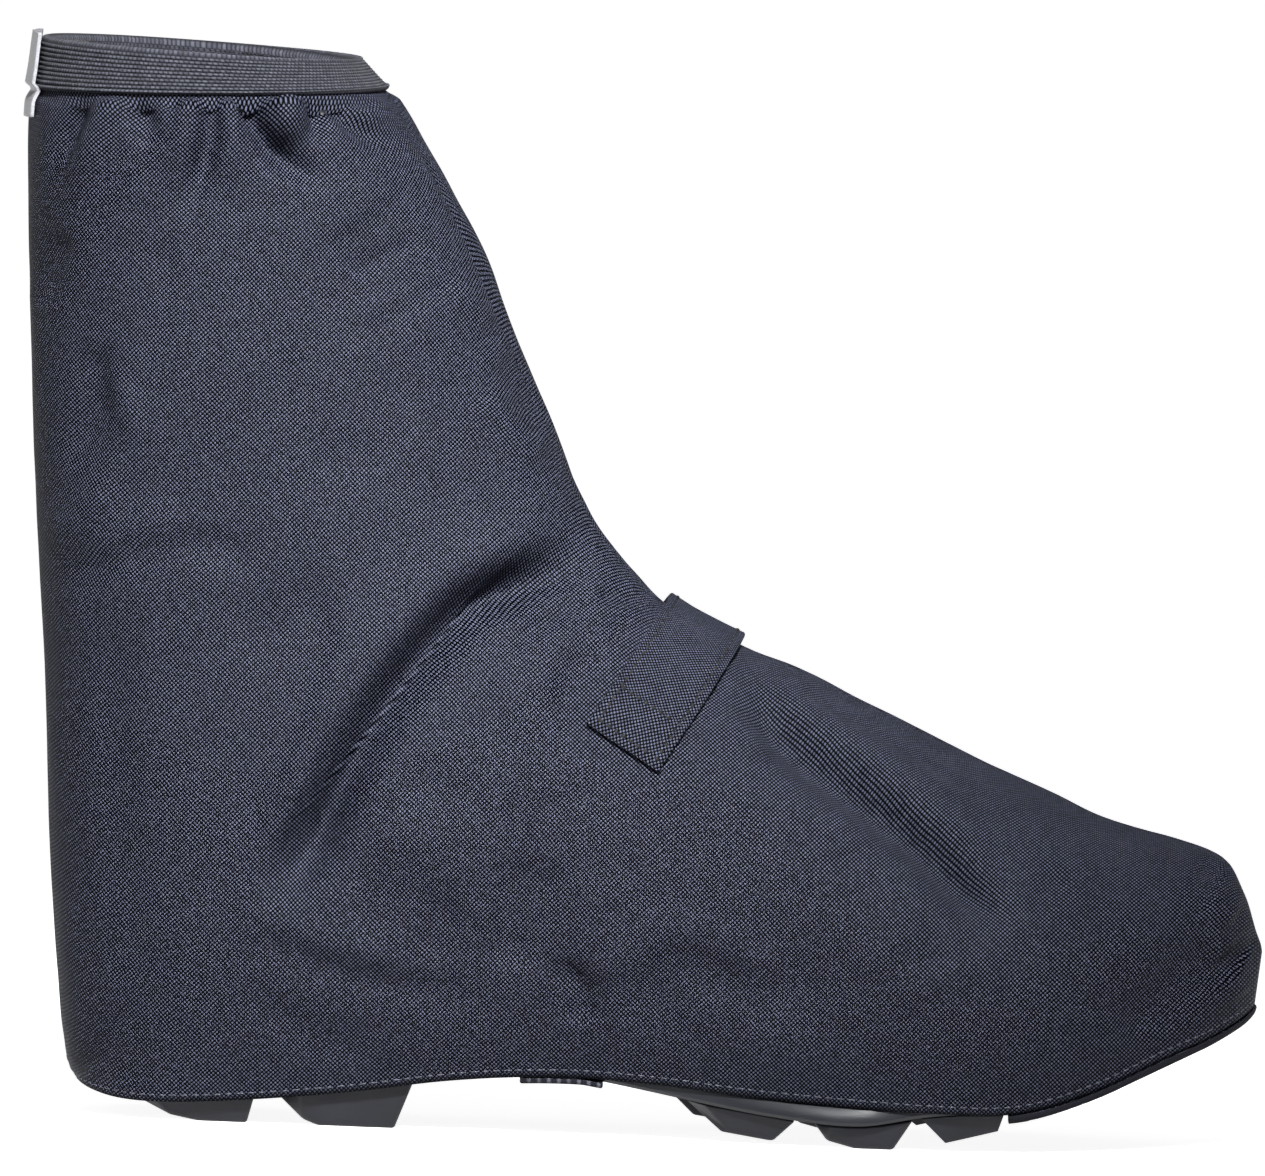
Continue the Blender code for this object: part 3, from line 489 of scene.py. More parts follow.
@cache
def cloth(fold_depth):
    """The fabric's outer skin as a lattice, with its folds, seams and gathers raised."""
    rows, columns = ALL_ROWS + 1, ALL_COLUMNS + 1
    plain = np.zeros((rows, columns, 3))
    middle = np.zeros((rows, 2, 3))
    turn = np.zeros((rows, 3))
    for r in range(rows):
        place = row_place(r)
        seam = seam_around(place)
        for c in range(columns):
            share = c / PANEL_COLUMNS - 1.0
            around = -1.0 + (share + 1.0) * (1.0 + seam) if share <= 0 else seam + share * (1.0 - seam)
            plain[r, c] = upper_point(place, around)
        front, back = section_frame(place)[:2]
        turn[r] = (back - front).normalized()
        middle[r, 0] = upper_point(place, -0.5)
        middle[r, 1] = upper_point(place, 0.5)
    steps = np.linalg.norm(np.diff(plain, axis=1), axis=2)
    walked = np.concatenate([np.zeros((rows, 1)), np.cumsum(steps, axis=1)], axis=1)
    across = walked - walked[:, PANEL_COLUMNS : PANEL_COLUMNS + 1]
    hem_up = np.minimum(walked, walked[:, -1:] - walked)

    # Flat pattern of each panel: the row's own line unrolled from its middle.
    weave = np.zeros((rows, columns, 2, 2))
    for r in range(rows):
        seam = seam_around(row_place(r))
        for panel, share in enumerate((0.5 / (1.0 + seam) - 1.0, (0.5 - seam) / (1.0 - seam))):
            anchor = np.interp((share + 1.0) * PANEL_COLUMNS, np.arange(columns), across[r])
            unrolled = (across[r] - anchor) * (-1.0 if panel == 0 else 1.0)
            weave[r, :, panel, 0] = middle[r, panel, 0] + turn[r, 0] * unrolled
            weave[r, :, panel, 1] = middle[r, panel, 2] + turn[r, 2] * unrolled

    def outward(points):
        along_rows = np.gradient(points, axis=0)
        along_columns = np.gradient(points, axis=1)
        normals = np.cross(along_columns, along_rows)
        return normals / np.maximum(np.linalg.norm(normals, axis=2, keepdims=True), 1e-12)

    side_view = plain[..., [0, 2]] * 1000.0
    inner_share = smooth_step(across / 0.012 + 0.5)
    relief = (1.0 - inner_share) * fold_relief(side_view, OUTER_FOLDS)
    relief += inner_share * fold_relief(side_view, INNER_FOLDS)

    # The fabric is slack, so it never lies quite flat between its folds.
    slack = np.array(
        [
            [
                noise.noise(Vector(p) * 32.0) * 0.8 + noise.noise(Vector(p) * 85.0 + Vector((7, 3, 1))) * 0.35
                for p in row
            ]
            for row in plain
        ]
    )
    relief = relief * fold_depth + slack

    places = np.array([row_place(r) for r in range(rows)])[:, None]
    unit = UPPER_HEIGHT * 0.5
    below_band = (PLACE_BAND - places) * unit
    # Small gathers where the fabric is drawn into the elastic.
    gather = np.sin(across / 0.0031 + 1.7 * np.sin(across / 0.017)) * 0.45
    relief += gather * np.exp(-np.maximum(below_band, 0.0) / 0.006)
    relief *= smooth_step(below_band / 0.0035)
    relief *= smooth_step(places * LENGTH / 0.010)
    relief *= 0.25 + 0.75 * smooth_step(hem_up / 0.014)
    # The seam allowance draws the fabric in along the front seam.
    relief -= 0.5 * np.exp(-((across / 0.0022) ** 2)) * smooth_step(below_band / 0.004) * smooth_step(places * LENGTH / 0.02)

    relief /= 1000.0
    points = plain + outward(plain) * relief[..., None]
    joined = (points[FOOT_ROWS:, 0] + points[FOOT_ROWS:, -1]) / 2.0
    points[FOOT_ROWS:, 0] = joined
    points[FOOT_ROWS:, -1] = joined
    points[0] = (points[0] + points[0, ::-1]) / 2.0
    return Lattice(plain, points, outward(points), relief, across, weave, hem_up)


def lattice_value(values, place, around):
    """A value of the lattice at a place and an around, between its rows and columns."""
    i = max(k for k in range(len(PLACES) - 1) if PLACES[k] <= place)
    row = (i + (place - PLACES[i]) / (PLACES[i + 1] - PLACES[i])) * ROWS_PER_SECTION
    seam = seam_around(place)
    share = (around + 1.0) / (1.0 + seam) - 1.0 if around <= seam else (around - seam) / (1.0 - seam)
    col = (share + 1.0) * PANEL_COLUMNS
    r, c = min(int(row), ALL_ROWS - 1), min(int(col), ALL_COLUMNS - 1)
    fr, fc = row - r, col - c
    low = values[r, c] * (1.0 - fc) + values[r, c + 1] * fc
    high = values[r + 1, c] * (1.0 - fc) + values[r + 1, c + 1] * fc
    return low * (1.0 - fr) + high * fr


def linear(hex_colour):
    """Linear red, green and blue from an sRGB hex colour."""
    parts = [int(hex_colour[i : i + 2], 16) / 255.0 for i in (0, 2, 4)]
    return tuple(p / 12.92 if p <= 0.04045 else ((p + 0.055) / 1.055) ** 2.4 for p in parts)


def add(tree, kind, settings=None, inputs=None):
    """Adds a node with its settings, and sets or links its inputs."""
    node = tree.nodes.new("ShaderNode" + kind)
    for name, value in (settings or {}).items():
        setattr(node, name, value)
    for name, value in (inputs or {}).items():
        if isinstance(value, bpy.types.NodeSocket):
            tree.links.new(value, node.inputs[name])
        else:
            node.inputs[name].default_value = value
    return node


def surface(name, roughness, ior=1.5, **constants):
    """A new material with a Principled shader; constants are the shader's own sockets."""
    made = bpy.data.materials.new(name)
    made.use_nodes = True
    tree = made.node_tree
    tree.nodes.clear()
    shader = add(tree, "BsdfPrincipled", None, {"Roughness": roughness, "IOR": ior})
    for socket, value in constants.items():
        shader.inputs[socket.replace("_", " ").title().replace("Ior", "IOR")].default_value = value
    add(tree, "OutputMaterial", None, {"Surface": shader.outputs[0]})
    return made, tree, shader


def weave(tree, way, pitch):
    """Height, warp share and chance of each crossing in a plain weave along a way in metres."""
    counts = add(tree, "VectorMath", {"operation": "SCALE"}, {0: way, "Scale": 1.0 / pitch}).outputs[0]
    cell = add(tree, "VectorMath", {"operation": "FLOOR"}, {0: counts}).outputs[0]
    within = add(tree, "VectorMath", {"operation": "FRACTION"}, {0: counts}).outputs[0]
    split = add(tree, "SeparateXYZ", None, {0: counts}).outputs
    swapped = add(tree, "CombineXYZ", None, {0: split[1], 1: split[0]}).outputs[0]
    phase = add(tree, "VectorMath", {"operation": "ADD"}, {0: swapped, 1: cell}).outputs[0]
    turned = add(tree, "VectorMath", {"operation": "SCALE"}, {0: phase, "Scale": math.pi}).outputs[0]
    wave = add(tree, "VectorMath", {"operation": "SINE"}, {0: turned}).outputs[0]
    rest = add(tree, "VectorMath", {"operation": "SUBTRACT"}, {0: (1.0, 1.0, 1.0), 1: within}).outputs[0]
    hump = add(tree, "VectorMath", {"operation": "MULTIPLY"}, {0: within, 1: rest}).outputs[0]
    lifted = add(
        tree, "VectorMath", {"operation": "MULTIPLY"}, {0: wave, 1: (0.45, -0.45, 0.0)}
    ).outputs[0]
    heights = add(
        tree, "VectorMath", {"operation": "MULTIPLY_ADD"}, {0: hump, 1: (2.2, 2.2, 0.0), 2: lifted}
    ).outputs[0]
    threads = add(tree, "SeparateXYZ", None, {0: heights}).outputs
    top = add(tree, "Math", {"operation": "MAXIMUM"}, {0: threads[0], 1: threads[1]}).outputs[0]
    warp = add(tree, "Math", {"operation": "GREATER_THAN"}, {0: threads[0], 1: threads[1]}).outputs[0]
    chance = add(tree, "TexWhiteNoise", {"noise_dimensions": "2D"}, {"Vector": cell}).outputs["Value"]
    return top, warp, chance


def oxford_fabric(fabric):
    """Polyester oxford, plain woven and coated on its reverse: matt, with a painted highlight on
    each raised thread's top and painted shade in the gaps, so that it looks grainy from near and soft from afar."""
    made, tree, shader = surface("oxford_fabric", 0.55)
    shader.inputs["Specular IOR Level"].default_value = 0.05
    way = add(tree, "UVMap", {"uv_map": "weave"}).outputs[0]
    # Threads wander a little, by a third of their pitch over some 9 mm.
    wander = add(tree, "TexNoise", None, {"Vector": way, "Scale": 110.0, "Detail": 1.0}).outputs["Color"]
    shifted = add(
        tree, "VectorMath", {"operation": "MULTIPLY_ADD"},
        {0: wander, 1: (fabric.thread_pitch * 1.2,) * 3, 2: way},
    ).outputs[0]
    top, warp, chance = weave(tree, shifted, fabric.thread_pitch)
    # Painted highlight: the higher a thread's top, the paler its base colour.
    painted_top_highlight = add(
        tree, "MapRange", {"interpolation_type": "SMOOTHSTEP"},
        {"Value": top, "From Min": 0.25, "From Max": 0.95},
    ).outputs[0]
    # Painted shade: warp and weft turn different sides to the light, so the weft is painted dark and only the warp
    # gets painted highlights.
    painted_side_shade = add(tree, "MapRange", None, {"Value": warp, "To Min": 0.0, "To Max": 1.0}).outputs[0]
    # Painted glints: each crossing's painted highlight is made a little stronger or weaker at random.
    painted_glint_strength = add(tree, "MapRange", None, {"Value": chance, "To Min": 0.7, "To Max": 1.2}).outputs[0]
    both = add(tree, "Math", {"operation": "MULTIPLY"}, {0: painted_side_shade, 1: painted_glint_strength}).outputs[0]
    light = add(tree, "Math", {"operation": "MULTIPLY"}, {0: painted_top_highlight, 1: both}).outputs[0]
    # Dye and wear vary over some 40 mm.
    cloudy = add(tree, "TexNoise", None, {"Vector": way, "Scale": 25.0, "Detail": 3.0}).outputs[0]
    cloud = add(tree, "MapRange", None, {"Value": cloudy, "To Min": 0.82, "To Max": 1.18}).outputs[0]
    shade = add(tree, "Math", {"operation": "MULTIPLY"}, {0: light, 1: cloud}).outputs[0]
    # Base colour runs from the painted shade of the gaps to the painted highlight of the thread tops.
    colour = add(
        tree, "Mix", {"data_type": "RGBA"},
        {"Factor": shade, 6: (*fabric.gap_shade_colour, 1.0), 7: (*fabric.thread_highlight_colour, 1.0)},
    ).outputs[2]
    tree.links.new(colour, shader.inputs["Base Color"])
    bump = add(
        tree, "Bump", None, {"Strength": 0.6, "Distance": fabric.thread_pitch * 0.35, "Height": top}
    ).outputs[0]
    tree.links.new(bump, shader.inputs["Normal"])
    return made


def coated_reverse():
    """Polyurethane coating on the reverse of the fabric: smooth, dark and faintly glossy."""
    made, tree, shader = surface("coated_reverse", 0.5)
    place = add(tree, "TexCoord").outputs["Object"]
    # Puddled coating over some 4 mm.
    grain = add(tree, "TexNoise", None, {"Vector": place, "Scale": 260.0, "Detail": 3.0}).outputs[0]
    colour = add(
        tree, "Mix", {"data_type": "RGBA"},
        {"Factor": grain, 6: (*linear("17181d"), 1.0), 7: (*linear("23242b"), 1.0)},
    ).outputs[2]
    tree.links.new(colour, shader.inputs["Base Color"])
    bump = add(tree, "Bump", None, {"Strength": 0.4, "Distance": 0.0002, "Height": grain}).outputs[0]
    tree.links.new(bump, shader.inputs["Normal"])
    return made


def elastic_webbing(rib):
    """Woven elastic webbing: ribs of floats that run round it, dull and a little furry, with a painted highlight on
    each float and painted shade between the floats.
    """
    made, tree, shader = surface("elastic_webbing", 0.8, Sheen_Weight=0.05, Sheen_Roughness=0.6)
    shader.inputs["Specular IOR Level"].default_value = 0.1
    way = add(tree, "UVMap", {"uv_map": "way"}).outputs[0]
    # One float is 1.1 mm long, and rows are set off by half of it.
    counts = add(
        tree, "VectorMath", {"operation": "MULTIPLY"}, {0: way, 1: (1.0 / 0.0011, 1.0 / rib, 0.0)}
    ).outputs[0]
    split = add(tree, "SeparateXYZ", None, {0: counts}).outputs
    row = add(tree, "Math", {"operation": "FLOOR"}, {0: split[1]}).outputs[0]
    set_off = add(tree, "Math", {"operation": "MULTIPLY_ADD"}, {0: row, 1: 0.5, 2: split[0]}).outputs[0]
    across = add(tree, "Math", {"operation": "FRACT"}, {0: set_off}).outputs[0]
    up = add(tree, "Math", {"operation": "FRACT"}, {0: split[1]}).outputs[0]
    humps = []
    for part in (across, up):
        rest = add(tree, "Math", {"operation": "SUBTRACT"}, {0: 1.0, 1: part}).outputs[0]
        humps.append(add(tree, "Math", {"operation": "MULTIPLY"}, {0: part, 1: rest}).outputs[0])
    product = add(tree, "Math", {"operation": "MULTIPLY"}, {0: humps[0], 1: humps[1]}).outputs[0]
    dot = add(tree, "Math", {"operation": "MULTIPLY"}, {0: product, 1: 16.0}).outputs[0]
    cell = add(tree, "CombineXYZ", None, {
        0: add(tree, "Math", {"operation": "FLOOR"}, {0: set_off}).outputs[0], 1: row
    }).outputs[0]
    chance = add(tree, "TexWhiteNoise", {"noise_dimensions": "2D"}, {"Vector": cell}).outputs["Value"]
    # Painted highlight on the middle of each float, stronger on some floats than others, and painted shade at the
    # float's ends and edges.
    thread = add(tree, "MapRange", None, {"Value": chance, "To Min": 0.55, "To Max": 1.1}).outputs[0]
    light = add(tree, "Math", {"operation": "MULTIPLY"}, {0: dot, 1: thread}).outputs[0]
    colour = add(
        tree, "Mix", {"data_type": "RGBA"},
        {"Factor": light, 6: (*linear("1d1e25"), 1.0), 7: (*linear("62646f"), 1.0)},
    ).outputs[2]
    tree.links.new(colour, shader.inputs["Base Color"])
    bump = add(tree, "Bump", None, {"Strength": 0.7, "Distance": 0.0003, "Height": dot}).outputs[0]
    tree.links.new(bump, shader.inputs["Normal"])
    return made


def loop_pile():
    """Looped nylon pile, as on the soft half of a touch fastener: black, deep and fuzzy, with a painted highlight on
    the raised loops.
    """
    made, tree, shader = surface("loop_pile", 0.95, Sheen_Weight=0.1, Sheen_Roughness=0.4)
    place = add(tree, "TexCoord").outputs["Object"]
    # Loops of some 0.5 mm, drawn at 0.8 mm so that they show.
    cells = add(tree, "TexVoronoi", None, {"Vector": place, "Scale": 1250.0}).outputs["Distance"]
    # Painted highlight on the raised rims of the loop cells, painted shade in their sunken middles.
    colour = add(
        tree, "Mix", {"data_type": "RGBA"},
        {"Factor": cells, 6: (*linear("0c0c0f"), 1.0), 7: (*linear("45454c"), 1.0)},
    ).outputs[2]
    tree.links.new(colour, shader.inputs["Base Color"])
    bump = add(tree, "Bump", None, {"Strength": 1.0, "Distance": 0.0008, "Height": cells}).outputs[0]
    tree.links.new(bump, shader.inputs["Normal"])
    return made


def reflective_tape():
    """Glass-bead reflective tape: pale grey, satin, with a fine bead grain."""
    made, tree, shader = surface("reflective_tape", 0.38, Metallic=0.15)
    place = add(tree, "TexCoord").outputs["Object"]
    # Beads are 0.06 mm, drawn at 0.5 mm so that they show.
    beads = add(tree, "TexVoronoi", None, {"Vector": place, "Scale": 2000.0}).outputs["Distance"]
    colour = add(
        tree, "Mix", {"data_type": "RGBA"},
        {"Factor": beads, 6: (*linear("c9cacf"), 1.0), 7: (*linear("a7a8ae"), 1.0)},
    ).outputs[2]
    tree.links.new(colour, shader.inputs["Base Color"])
    bump = add(tree, "Bump", None, {"Strength": 0.25, "Distance": 0.0001, "Height": beads}).outputs[0]
    tree.links.new(bump, shader.inputs["Normal"])
    return made


def sewing_thread(name, hex_dark, hex_pale):
    """Bonded polyester thread, two plies twisted: slightly glossier than the fabric."""
    made, tree, shader = surface(name, 0.55)
    place = add(tree, "TexCoord").outputs["Object"]
    # Plies turn every 0.6 mm.
    plies = add(
        tree, "TexWave", {"bands_direction": "DIAGONAL"}, {"Vector": place, "Scale": 520.0, "Distortion": 0.5}
    ).outputs["Fac"]
    colour = add(
        tree, "Mix", {"data_type": "RGBA"},
        {"Factor": plies, 6: (*linear(hex_dark), 1.0), 7: (*linear(hex_pale), 1.0)},
    ).outputs[2]
    tree.links.new(colour, shader.inputs["Base Color"])
    return made


def moulded(name, hex_dark, hex_pale, roughness, grain_size, grain_depth):
    """A moulded plastic or rubber with a fine spark-eroded grain and a few scuffs."""
    made, tree, shader = surface(name, roughness)
    shader.inputs["Specular IOR Level"].default_value = 0.3
    place = add(tree, "TexCoord").outputs["Object"]
    grain = add(tree, "TexNoise", None, {"Vector": place, "Scale": 1.0 / grain_size, "Detail": 2.0}).outputs[0]
    # Handling marks of some 12 mm.
    marks = add(tree, "TexNoise", None, {"Vector": place, "Scale": 85.0, "Detail": 5.0}).outputs[0]
    worn = add(
        tree, "MapRange", {"interpolation_type": "SMOOTHSTEP"},
        {"Value": marks, "From Min": 0.35, "From Max": 0.75},
    ).outputs[0]
    colour = add(
        tree, "Mix", {"data_type": "RGBA"},
        {"Factor": worn, 6: (*linear(hex_dark), 1.0), 7: (*linear(hex_pale), 1.0)},
    ).outputs[2]
    tree.links.new(colour, shader.inputs["Base Color"])
    rough = add(
        tree, "MapRange", None,
        {"Value": marks, "To Min": roughness - 0.08, "To Max": roughness + 0.14},
    ).outputs[0]
    tree.links.new(rough, shader.inputs["Roughness"])
    bump = add(
        tree, "Bump", None, {"Strength": 0.5, "Distance": grain_depth, "Height": grain}
    ).outputs[0]
    tree.links.new(bump, shader.inputs["Normal"])
    return made


def sheet(rows, columns, place_at, way_at, way_name="way"):
    """A grid of rows by columns with its corners at place_at and its UV map from way_at."""
    shape = bmesh.new()
    way = shape.loops.layers.uv.new(way_name)
    bmesh.ops.create_grid(shape, x_segments=rows, y_segments=columns, size=1.0)
    cells = {}
    for corner in shape.verts:
        row = round((corner.co.x + 1.0) * rows / 2.0)
        col = round((corner.co.y + 1.0) * columns / 2.0)
        cells[corner] = (row, col)
    for face in shape.faces:
        middle = sum(cells[corner][1] for corner in face.verts) / 4.0
        for loop in face.loops:
            loop[way].uv = way_at(*cells[loop.vert], middle)
    for corner, (row, col) in cells.items():
        corner.co = place_at(row, col)
    return shape


def finish_piece(name, shape, materials, nodes=(), closed=True):
    """Makes the shape an object of the scene that rides on the shoe."""
    bmesh.ops.remove_doubles(shape, verts=shape.verts, dist=2e-6)
    if closed:
        rims = [edge for edge in shape.edges if edge.is_boundary]
        bmesh.ops.holes_fill(shape, edges=rims, sides=0)
        bmesh.ops.recalc_face_normals(shape, faces=shape.faces)
    mesh = bpy.data.meshes.new(name)
    shape.to_mesh(mesh)
    shape.free()
    for made in materials:
        mesh.materials.append(made)
    mesh.shade_smooth()
    piece = bpy.data.objects.new(name, mesh)
    bpy.context.scene.collection.objects.link(piece)
    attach(piece, "root")
    if nodes:
        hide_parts(*nodes)
    return piece


def add_stitch(shape, start, end, outward, radius):
    """One stitch lying on the fabric, as a slim rounded bead from start to end."""
    run = end - start
    across = run.cross(outward).normalized() * radius
    up = across.cross(run).normalized() * radius
    half = run * 0.5
    turn = Matrix((across, up, half)).transposed().to_4x4()
    turn.translation = (start + end) / 2.0
    bmesh.ops.create_uvsphere(shape, u_segments=6, v_segments=4, radius=1.0, matrix=turn)


def stitch_line(shape, points, outwards, pitch, length, radius):
    """Stitches along a line of points, each of a length, one every pitch."""
    walked = [0.0]
    for a, b in zip(points, points[1:]):
        walked.append(walked[-1] + (b - a).length)

    def at(distance):
        k = max(i for i in range(len(points) - 1) if walked[i] <= distance)
        t = (distance - walked[k]) / max(walked[k + 1] - walked[k], 1e-9)
        return points[k].lerp(points[k + 1], t), outwards[k].lerp(outwards[k + 1], t)

    for n in range(int(walked[-1] / pitch)):
        start, outward = at(n * pitch)
        end, _ = at(min(n * pitch + length, walked[-1] - 1e-6))
        sunk = outward.normalized() * radius * 0.3
        add_stitch(shape, start - sunk, end - sunk, outward, radius)


@cache
def strap_axes():
    """Directions along and across the strap in the side view, and its point on the vamp."""
    up = Vector((math.cos(STRAP_LEAN), 0.0, math.sin(STRAP_LEAN)))
    across = Vector((math.sin(STRAP_LEAN), 0.0, -math.cos(STRAP_LEAN)))
    place = solve(0.0, PLACE_CORNER, lambda at: STRAP_CROSSING - column("front_x", at))
    return up, across, upper_point(place, 0.0)


@cache
def strap_place(offset, around):
    """The place where a line along the strap, at an offset across it, passes an around."""
    _, across, crossing = strap_axes()
    return solve(
        0.0,
        PLACE_BAND,
        lambda place: (crossing - upper_point(place, around)).dot(across) + offset,
    )


@cache
def strap_end(offset, side, drop):
    """How far around a line along the strap runs, to a drop below its highest point."""
    up, _, crossing = strap_axes()

    def wrong(reach):
        around = side * reach
        return (crossing - upper_point(strap_place(offset, around), around)).dot(up) - drop

    return side * solve(0.0, 0.95, wrong)


@cache
def strap_seat(offset, share, fold_depth):
    """Where the strap lies on the folded fabric, and which way is out."""
    first = strap_end(offset, -1.0, STRAP_DROP_OUT)
    last = strap_end(offset, 1.0, STRAP_DROP_IN)
    around = first + (last - first) * share
    place = strap_place(offset, around)
    relief = float(lattice_value(cloth(fold_depth).relief, place, around))
    outward = upper_normal(place, around)
    return upper_point(place, around) + outward * max(relief, -0.0002), outward


def rounded_section(width, thickness, steps):
    """Corners round a flat strap's section, as offsets across and up, from 0 upward."""
    corners = []
    half, round_end = width / 2.0 - thickness / 2.0, thickness / 2.0
    for k in range(steps + 1):
        corners.append((-half + 2.0 * half * k / steps, thickness))
    for k in range(1, 6):
        turn = math.pi / 2.0 - math.pi * k / 6.0
        corners.append((half + round_end * math.cos(turn), round_end + round_end * math.sin(turn)))
    for k in range(steps + 1):
        corners.append((half - 2.0 * half * k / steps, 0.0))
    for k in range(1, 6):
        turn = -math.pi / 2.0 - math.pi * k / 6.0
        corners.append((-half + round_end * math.cos(turn), round_end + round_end * math.sin(turn)))
    corners.append(corners[0])
    return corners


def girth(place):
    """Length round the upper at a place."""
    ring = [upper_point(place, step / 24.0 - 1.0) for step in range(49)]
    return sum((b - a).length for a, b in zip(ring, ring[1:]))


def collar_place(rise):
    """The place on the back line at a height below or at the top of the upper."""
    return solve(
        PLACE_CORNER,
        PLACE_TOP,
        lambda place: height(column("back_z", place)) - (UPPER_HEIGHT + rise),
    )


class OvershoeFabric(bpy.types.PropertyGroup):
    thread_pitch: bpy.props.FloatProperty(
        name="Thread pitch",
        description="Distance between neighbouring threads, drawn a tenth coarser than the real 0.5 mm",
        default=0.00055,
        min=0.0002,
        max=0.003,
        precision=5,
        subtype="DISTANCE",
        unit="LENGTH",
    )
    fold_depth: bpy.props.FloatProperty(
        name="Fold depth",
        description="How deep the folds are, as a share of their own depth",
        default=1.0,
        min=0.0,
        max=1.5,
        subtype="FACTOR",
    )
    # Painted highlight: the colour given to the raised thread tops.
    thread_highlight_colour: bpy.props.FloatVectorProperty(
        name="Thread colour",
        description="Colour of the raised threads",
        default=linear("62667a"),
        min=0.0,
        max=1.0,
        size=3,
        subtype="COLOR",
    )
    # Painted shade: the colour given to the gaps between the threads.
    gap_shade_colour: bpy.props.FloatVectorProperty(
        name="Gap colour",
        description="Colour between the threads",
        default=linear("020206"),
        min=0.0,
        max=1.0,
        size=3,
        subtype="COLOR",
    )


class OvershoeTrim(bpy.types.PropertyGroup):
    rib_pitch: bpy.props.FloatProperty(
        name="Rib pitch",
        description="Height of one rib of the elastic webbing",
        default=0.00125,
        min=0.0005,
        max=0.004,
        precision=5,
        subtype="DISTANCE",
        unit="LENGTH",
    )
    stitch_pitch: bpy.props.FloatProperty(
        name="Stitch pitch",
        description="Distance from one stitch to the next",
        default=0.0028,
        min=0.001,
        max=0.006,
        precision=5,
        subtype="DISTANCE",
        unit="LENGTH",
    )
    thread_radius: bpy.props.FloatProperty(
        name="Thread radius",
        description="Radius of the sewing thread",
        default=0.00024,
        min=0.0001,
        max=0.001,
        precision=5,
        subtype="DISTANCE",
        unit="LENGTH",
    )


class OvershoeSole(bpy.types.PropertyGroup):
    edge_radius: bpy.props.FloatProperty(
        name="Edge radius",
        description="Rounding of the tread blocks' edges",
        default=0.0007,
        min=0.0001,
        max=0.003,
        precision=5,
        subtype="DISTANCE",
        unit="LENGTH",
    )


class OvershoeStage(bpy.types.PropertyGroup):
    camera_distance: bpy.props.FloatProperty(
        name="Camera distance",
        description="Distance from the camera to the shoe",
        default=12.0,
        min=0.5,
        max=20.0,
        subtype="DISTANCE",
        unit="LENGTH",
    )
    camera_elevation: bpy.props.FloatProperty(
        name="Camera elevation",
        description="How far above the horizon the camera stands",
        default=math.radians(3.0),
        min=0.0,
        max=1.5,
        subtype="ANGLE",
        unit="ROTATION",
    )
    camera_roll: bpy.props.FloatProperty(
        name="Camera roll",
        description="How far the shoe's toe points down in the picture",
        default=math.radians(2.1),
        min=-0.5,
        max=0.5,
        subtype="ANGLE",
        unit="ROTATION",
    )
    view_width: bpy.props.FloatProperty(
        name="View width",
        description="Width of the picture at the shoe",
        default=0.31625,
        min=0.05,
        max=2.0,
        precision=4,
        subtype="DISTANCE",
        unit="LENGTH",
    )


class OVERSHOE_OT_upper(bpy.types.Operator):
    """Two panels of oxford fabric sewn front and back, with their folds"""

    bl_idname = "overshoe.upper"
    bl_label = "Upper"

    def execute(self, context):
        fabric = context.scene.overshoe_fabric
        skin = cloth(fabric.fold_depth)

        def place_at(row, col):
            return skin.points[row, col]

        def way_at(row, col, middle):
            return skin.weave[row, col, 0 if middle < PANEL_COLUMNS else 1]

        shape = sheet(ALL_ROWS, ALL_COLUMNS, place_at, way_at, "weave")
        upper = finish_piece(
            "fabric_upper",
            shape,
            [oxford_fabric(fabric), coated_reverse()],
            ["upper"],
            closed=False,
        )
        widest = max(upper.data.polygons, key=lambda face: face.center.y)
        if widest.normal.y < 0:
            upper.data.flip_normals()
        wall = upper.modifiers.new("wall", "SOLIDIFY")
        wall.thickness = WALL
        wall.offset = -1.0
        wall.material_offset = 1
        return {"FINISHED"}


class OVERSHOE_OT_collar_band(bpy.types.Operator):
    """Ribbed elastic webbing folded over the collar, with a rolled lower edge"""

    bl_idname = "overshoe.collar_band"
    bl_label = "Collar band"

    def execute(self, context):
        rib = context.scene.overshoe_trim.rib_pitch
        skin = BAND_THICKNESS
        profile = []
        ribs, per_rib = 9, 6
        for k in range(9):
            turn = -math.pi * 0.75 + math.pi * 1.25 * k / 8.0
            profile.append((0.045 + 0.05 * math.sin(turn), GAP + skin * 0.6 + 0.00085 * math.cos(turn), 0.0))
        for k in range(ribs * per_rib + 1):
            share = k / (ribs * per_rib)
            wave = abs(math.sin(math.pi * k / per_rib)) ** 0.7
            profile.append((0.115 + 0.875 * share, GAP + skin * (0.72 + 0.34 * wave), 0.0))
        over = GAP + skin
        middle = -WALL / 2.0
        reach = WALL / 2.0 + over
        for k in range(1, 10):
            turn = math.pi * k / 10.0
            profile.append((1.0, middle + reach * math.cos(turn), over * math.sin(turn)))
        inner = -(WALL + GAP)
        for k in range(ribs * per_rib + 1):
            share = 1.0 - k / (ribs * per_rib)
            wave = abs(math.sin(math.pi * k / per_rib)) ** 0.7
            profile.append((0.115 + 0.875 * share, inner - skin * (0.72 + 0.34 * wave), 0.0))
        profile += [(0.11, inner, 0.0), (1.0, inner, GAP), (1.0, GAP, GAP), (0.02, GAP, 0.0)]
        profile.append(profile[0])
        steps = 4 * PANEL_COLUMNS // 2
        turn_length = girth(PLACE_TOP)

        def place_at(row, col):
            share, distance, rise = profile[col]
            place = PLACE_BAND + (PLACE_TOP - PLACE_BAND) * share
            around = (row % steps) / steps * 2.0 - 1.0
            point = off_upper(place, around, distance)
            point.z += rise
            return point

        def way_at(row, col, middle):
            return row / steps * turn_length, (col - 9) * rib / per_rib

        shape = sheet(steps, len(profile) - 1, place_at, way_at)
        finish_piece("elastic_collar_band", shape, [elastic_webbing(rib)], ["collar_band"])
        return {"FINISHED"}


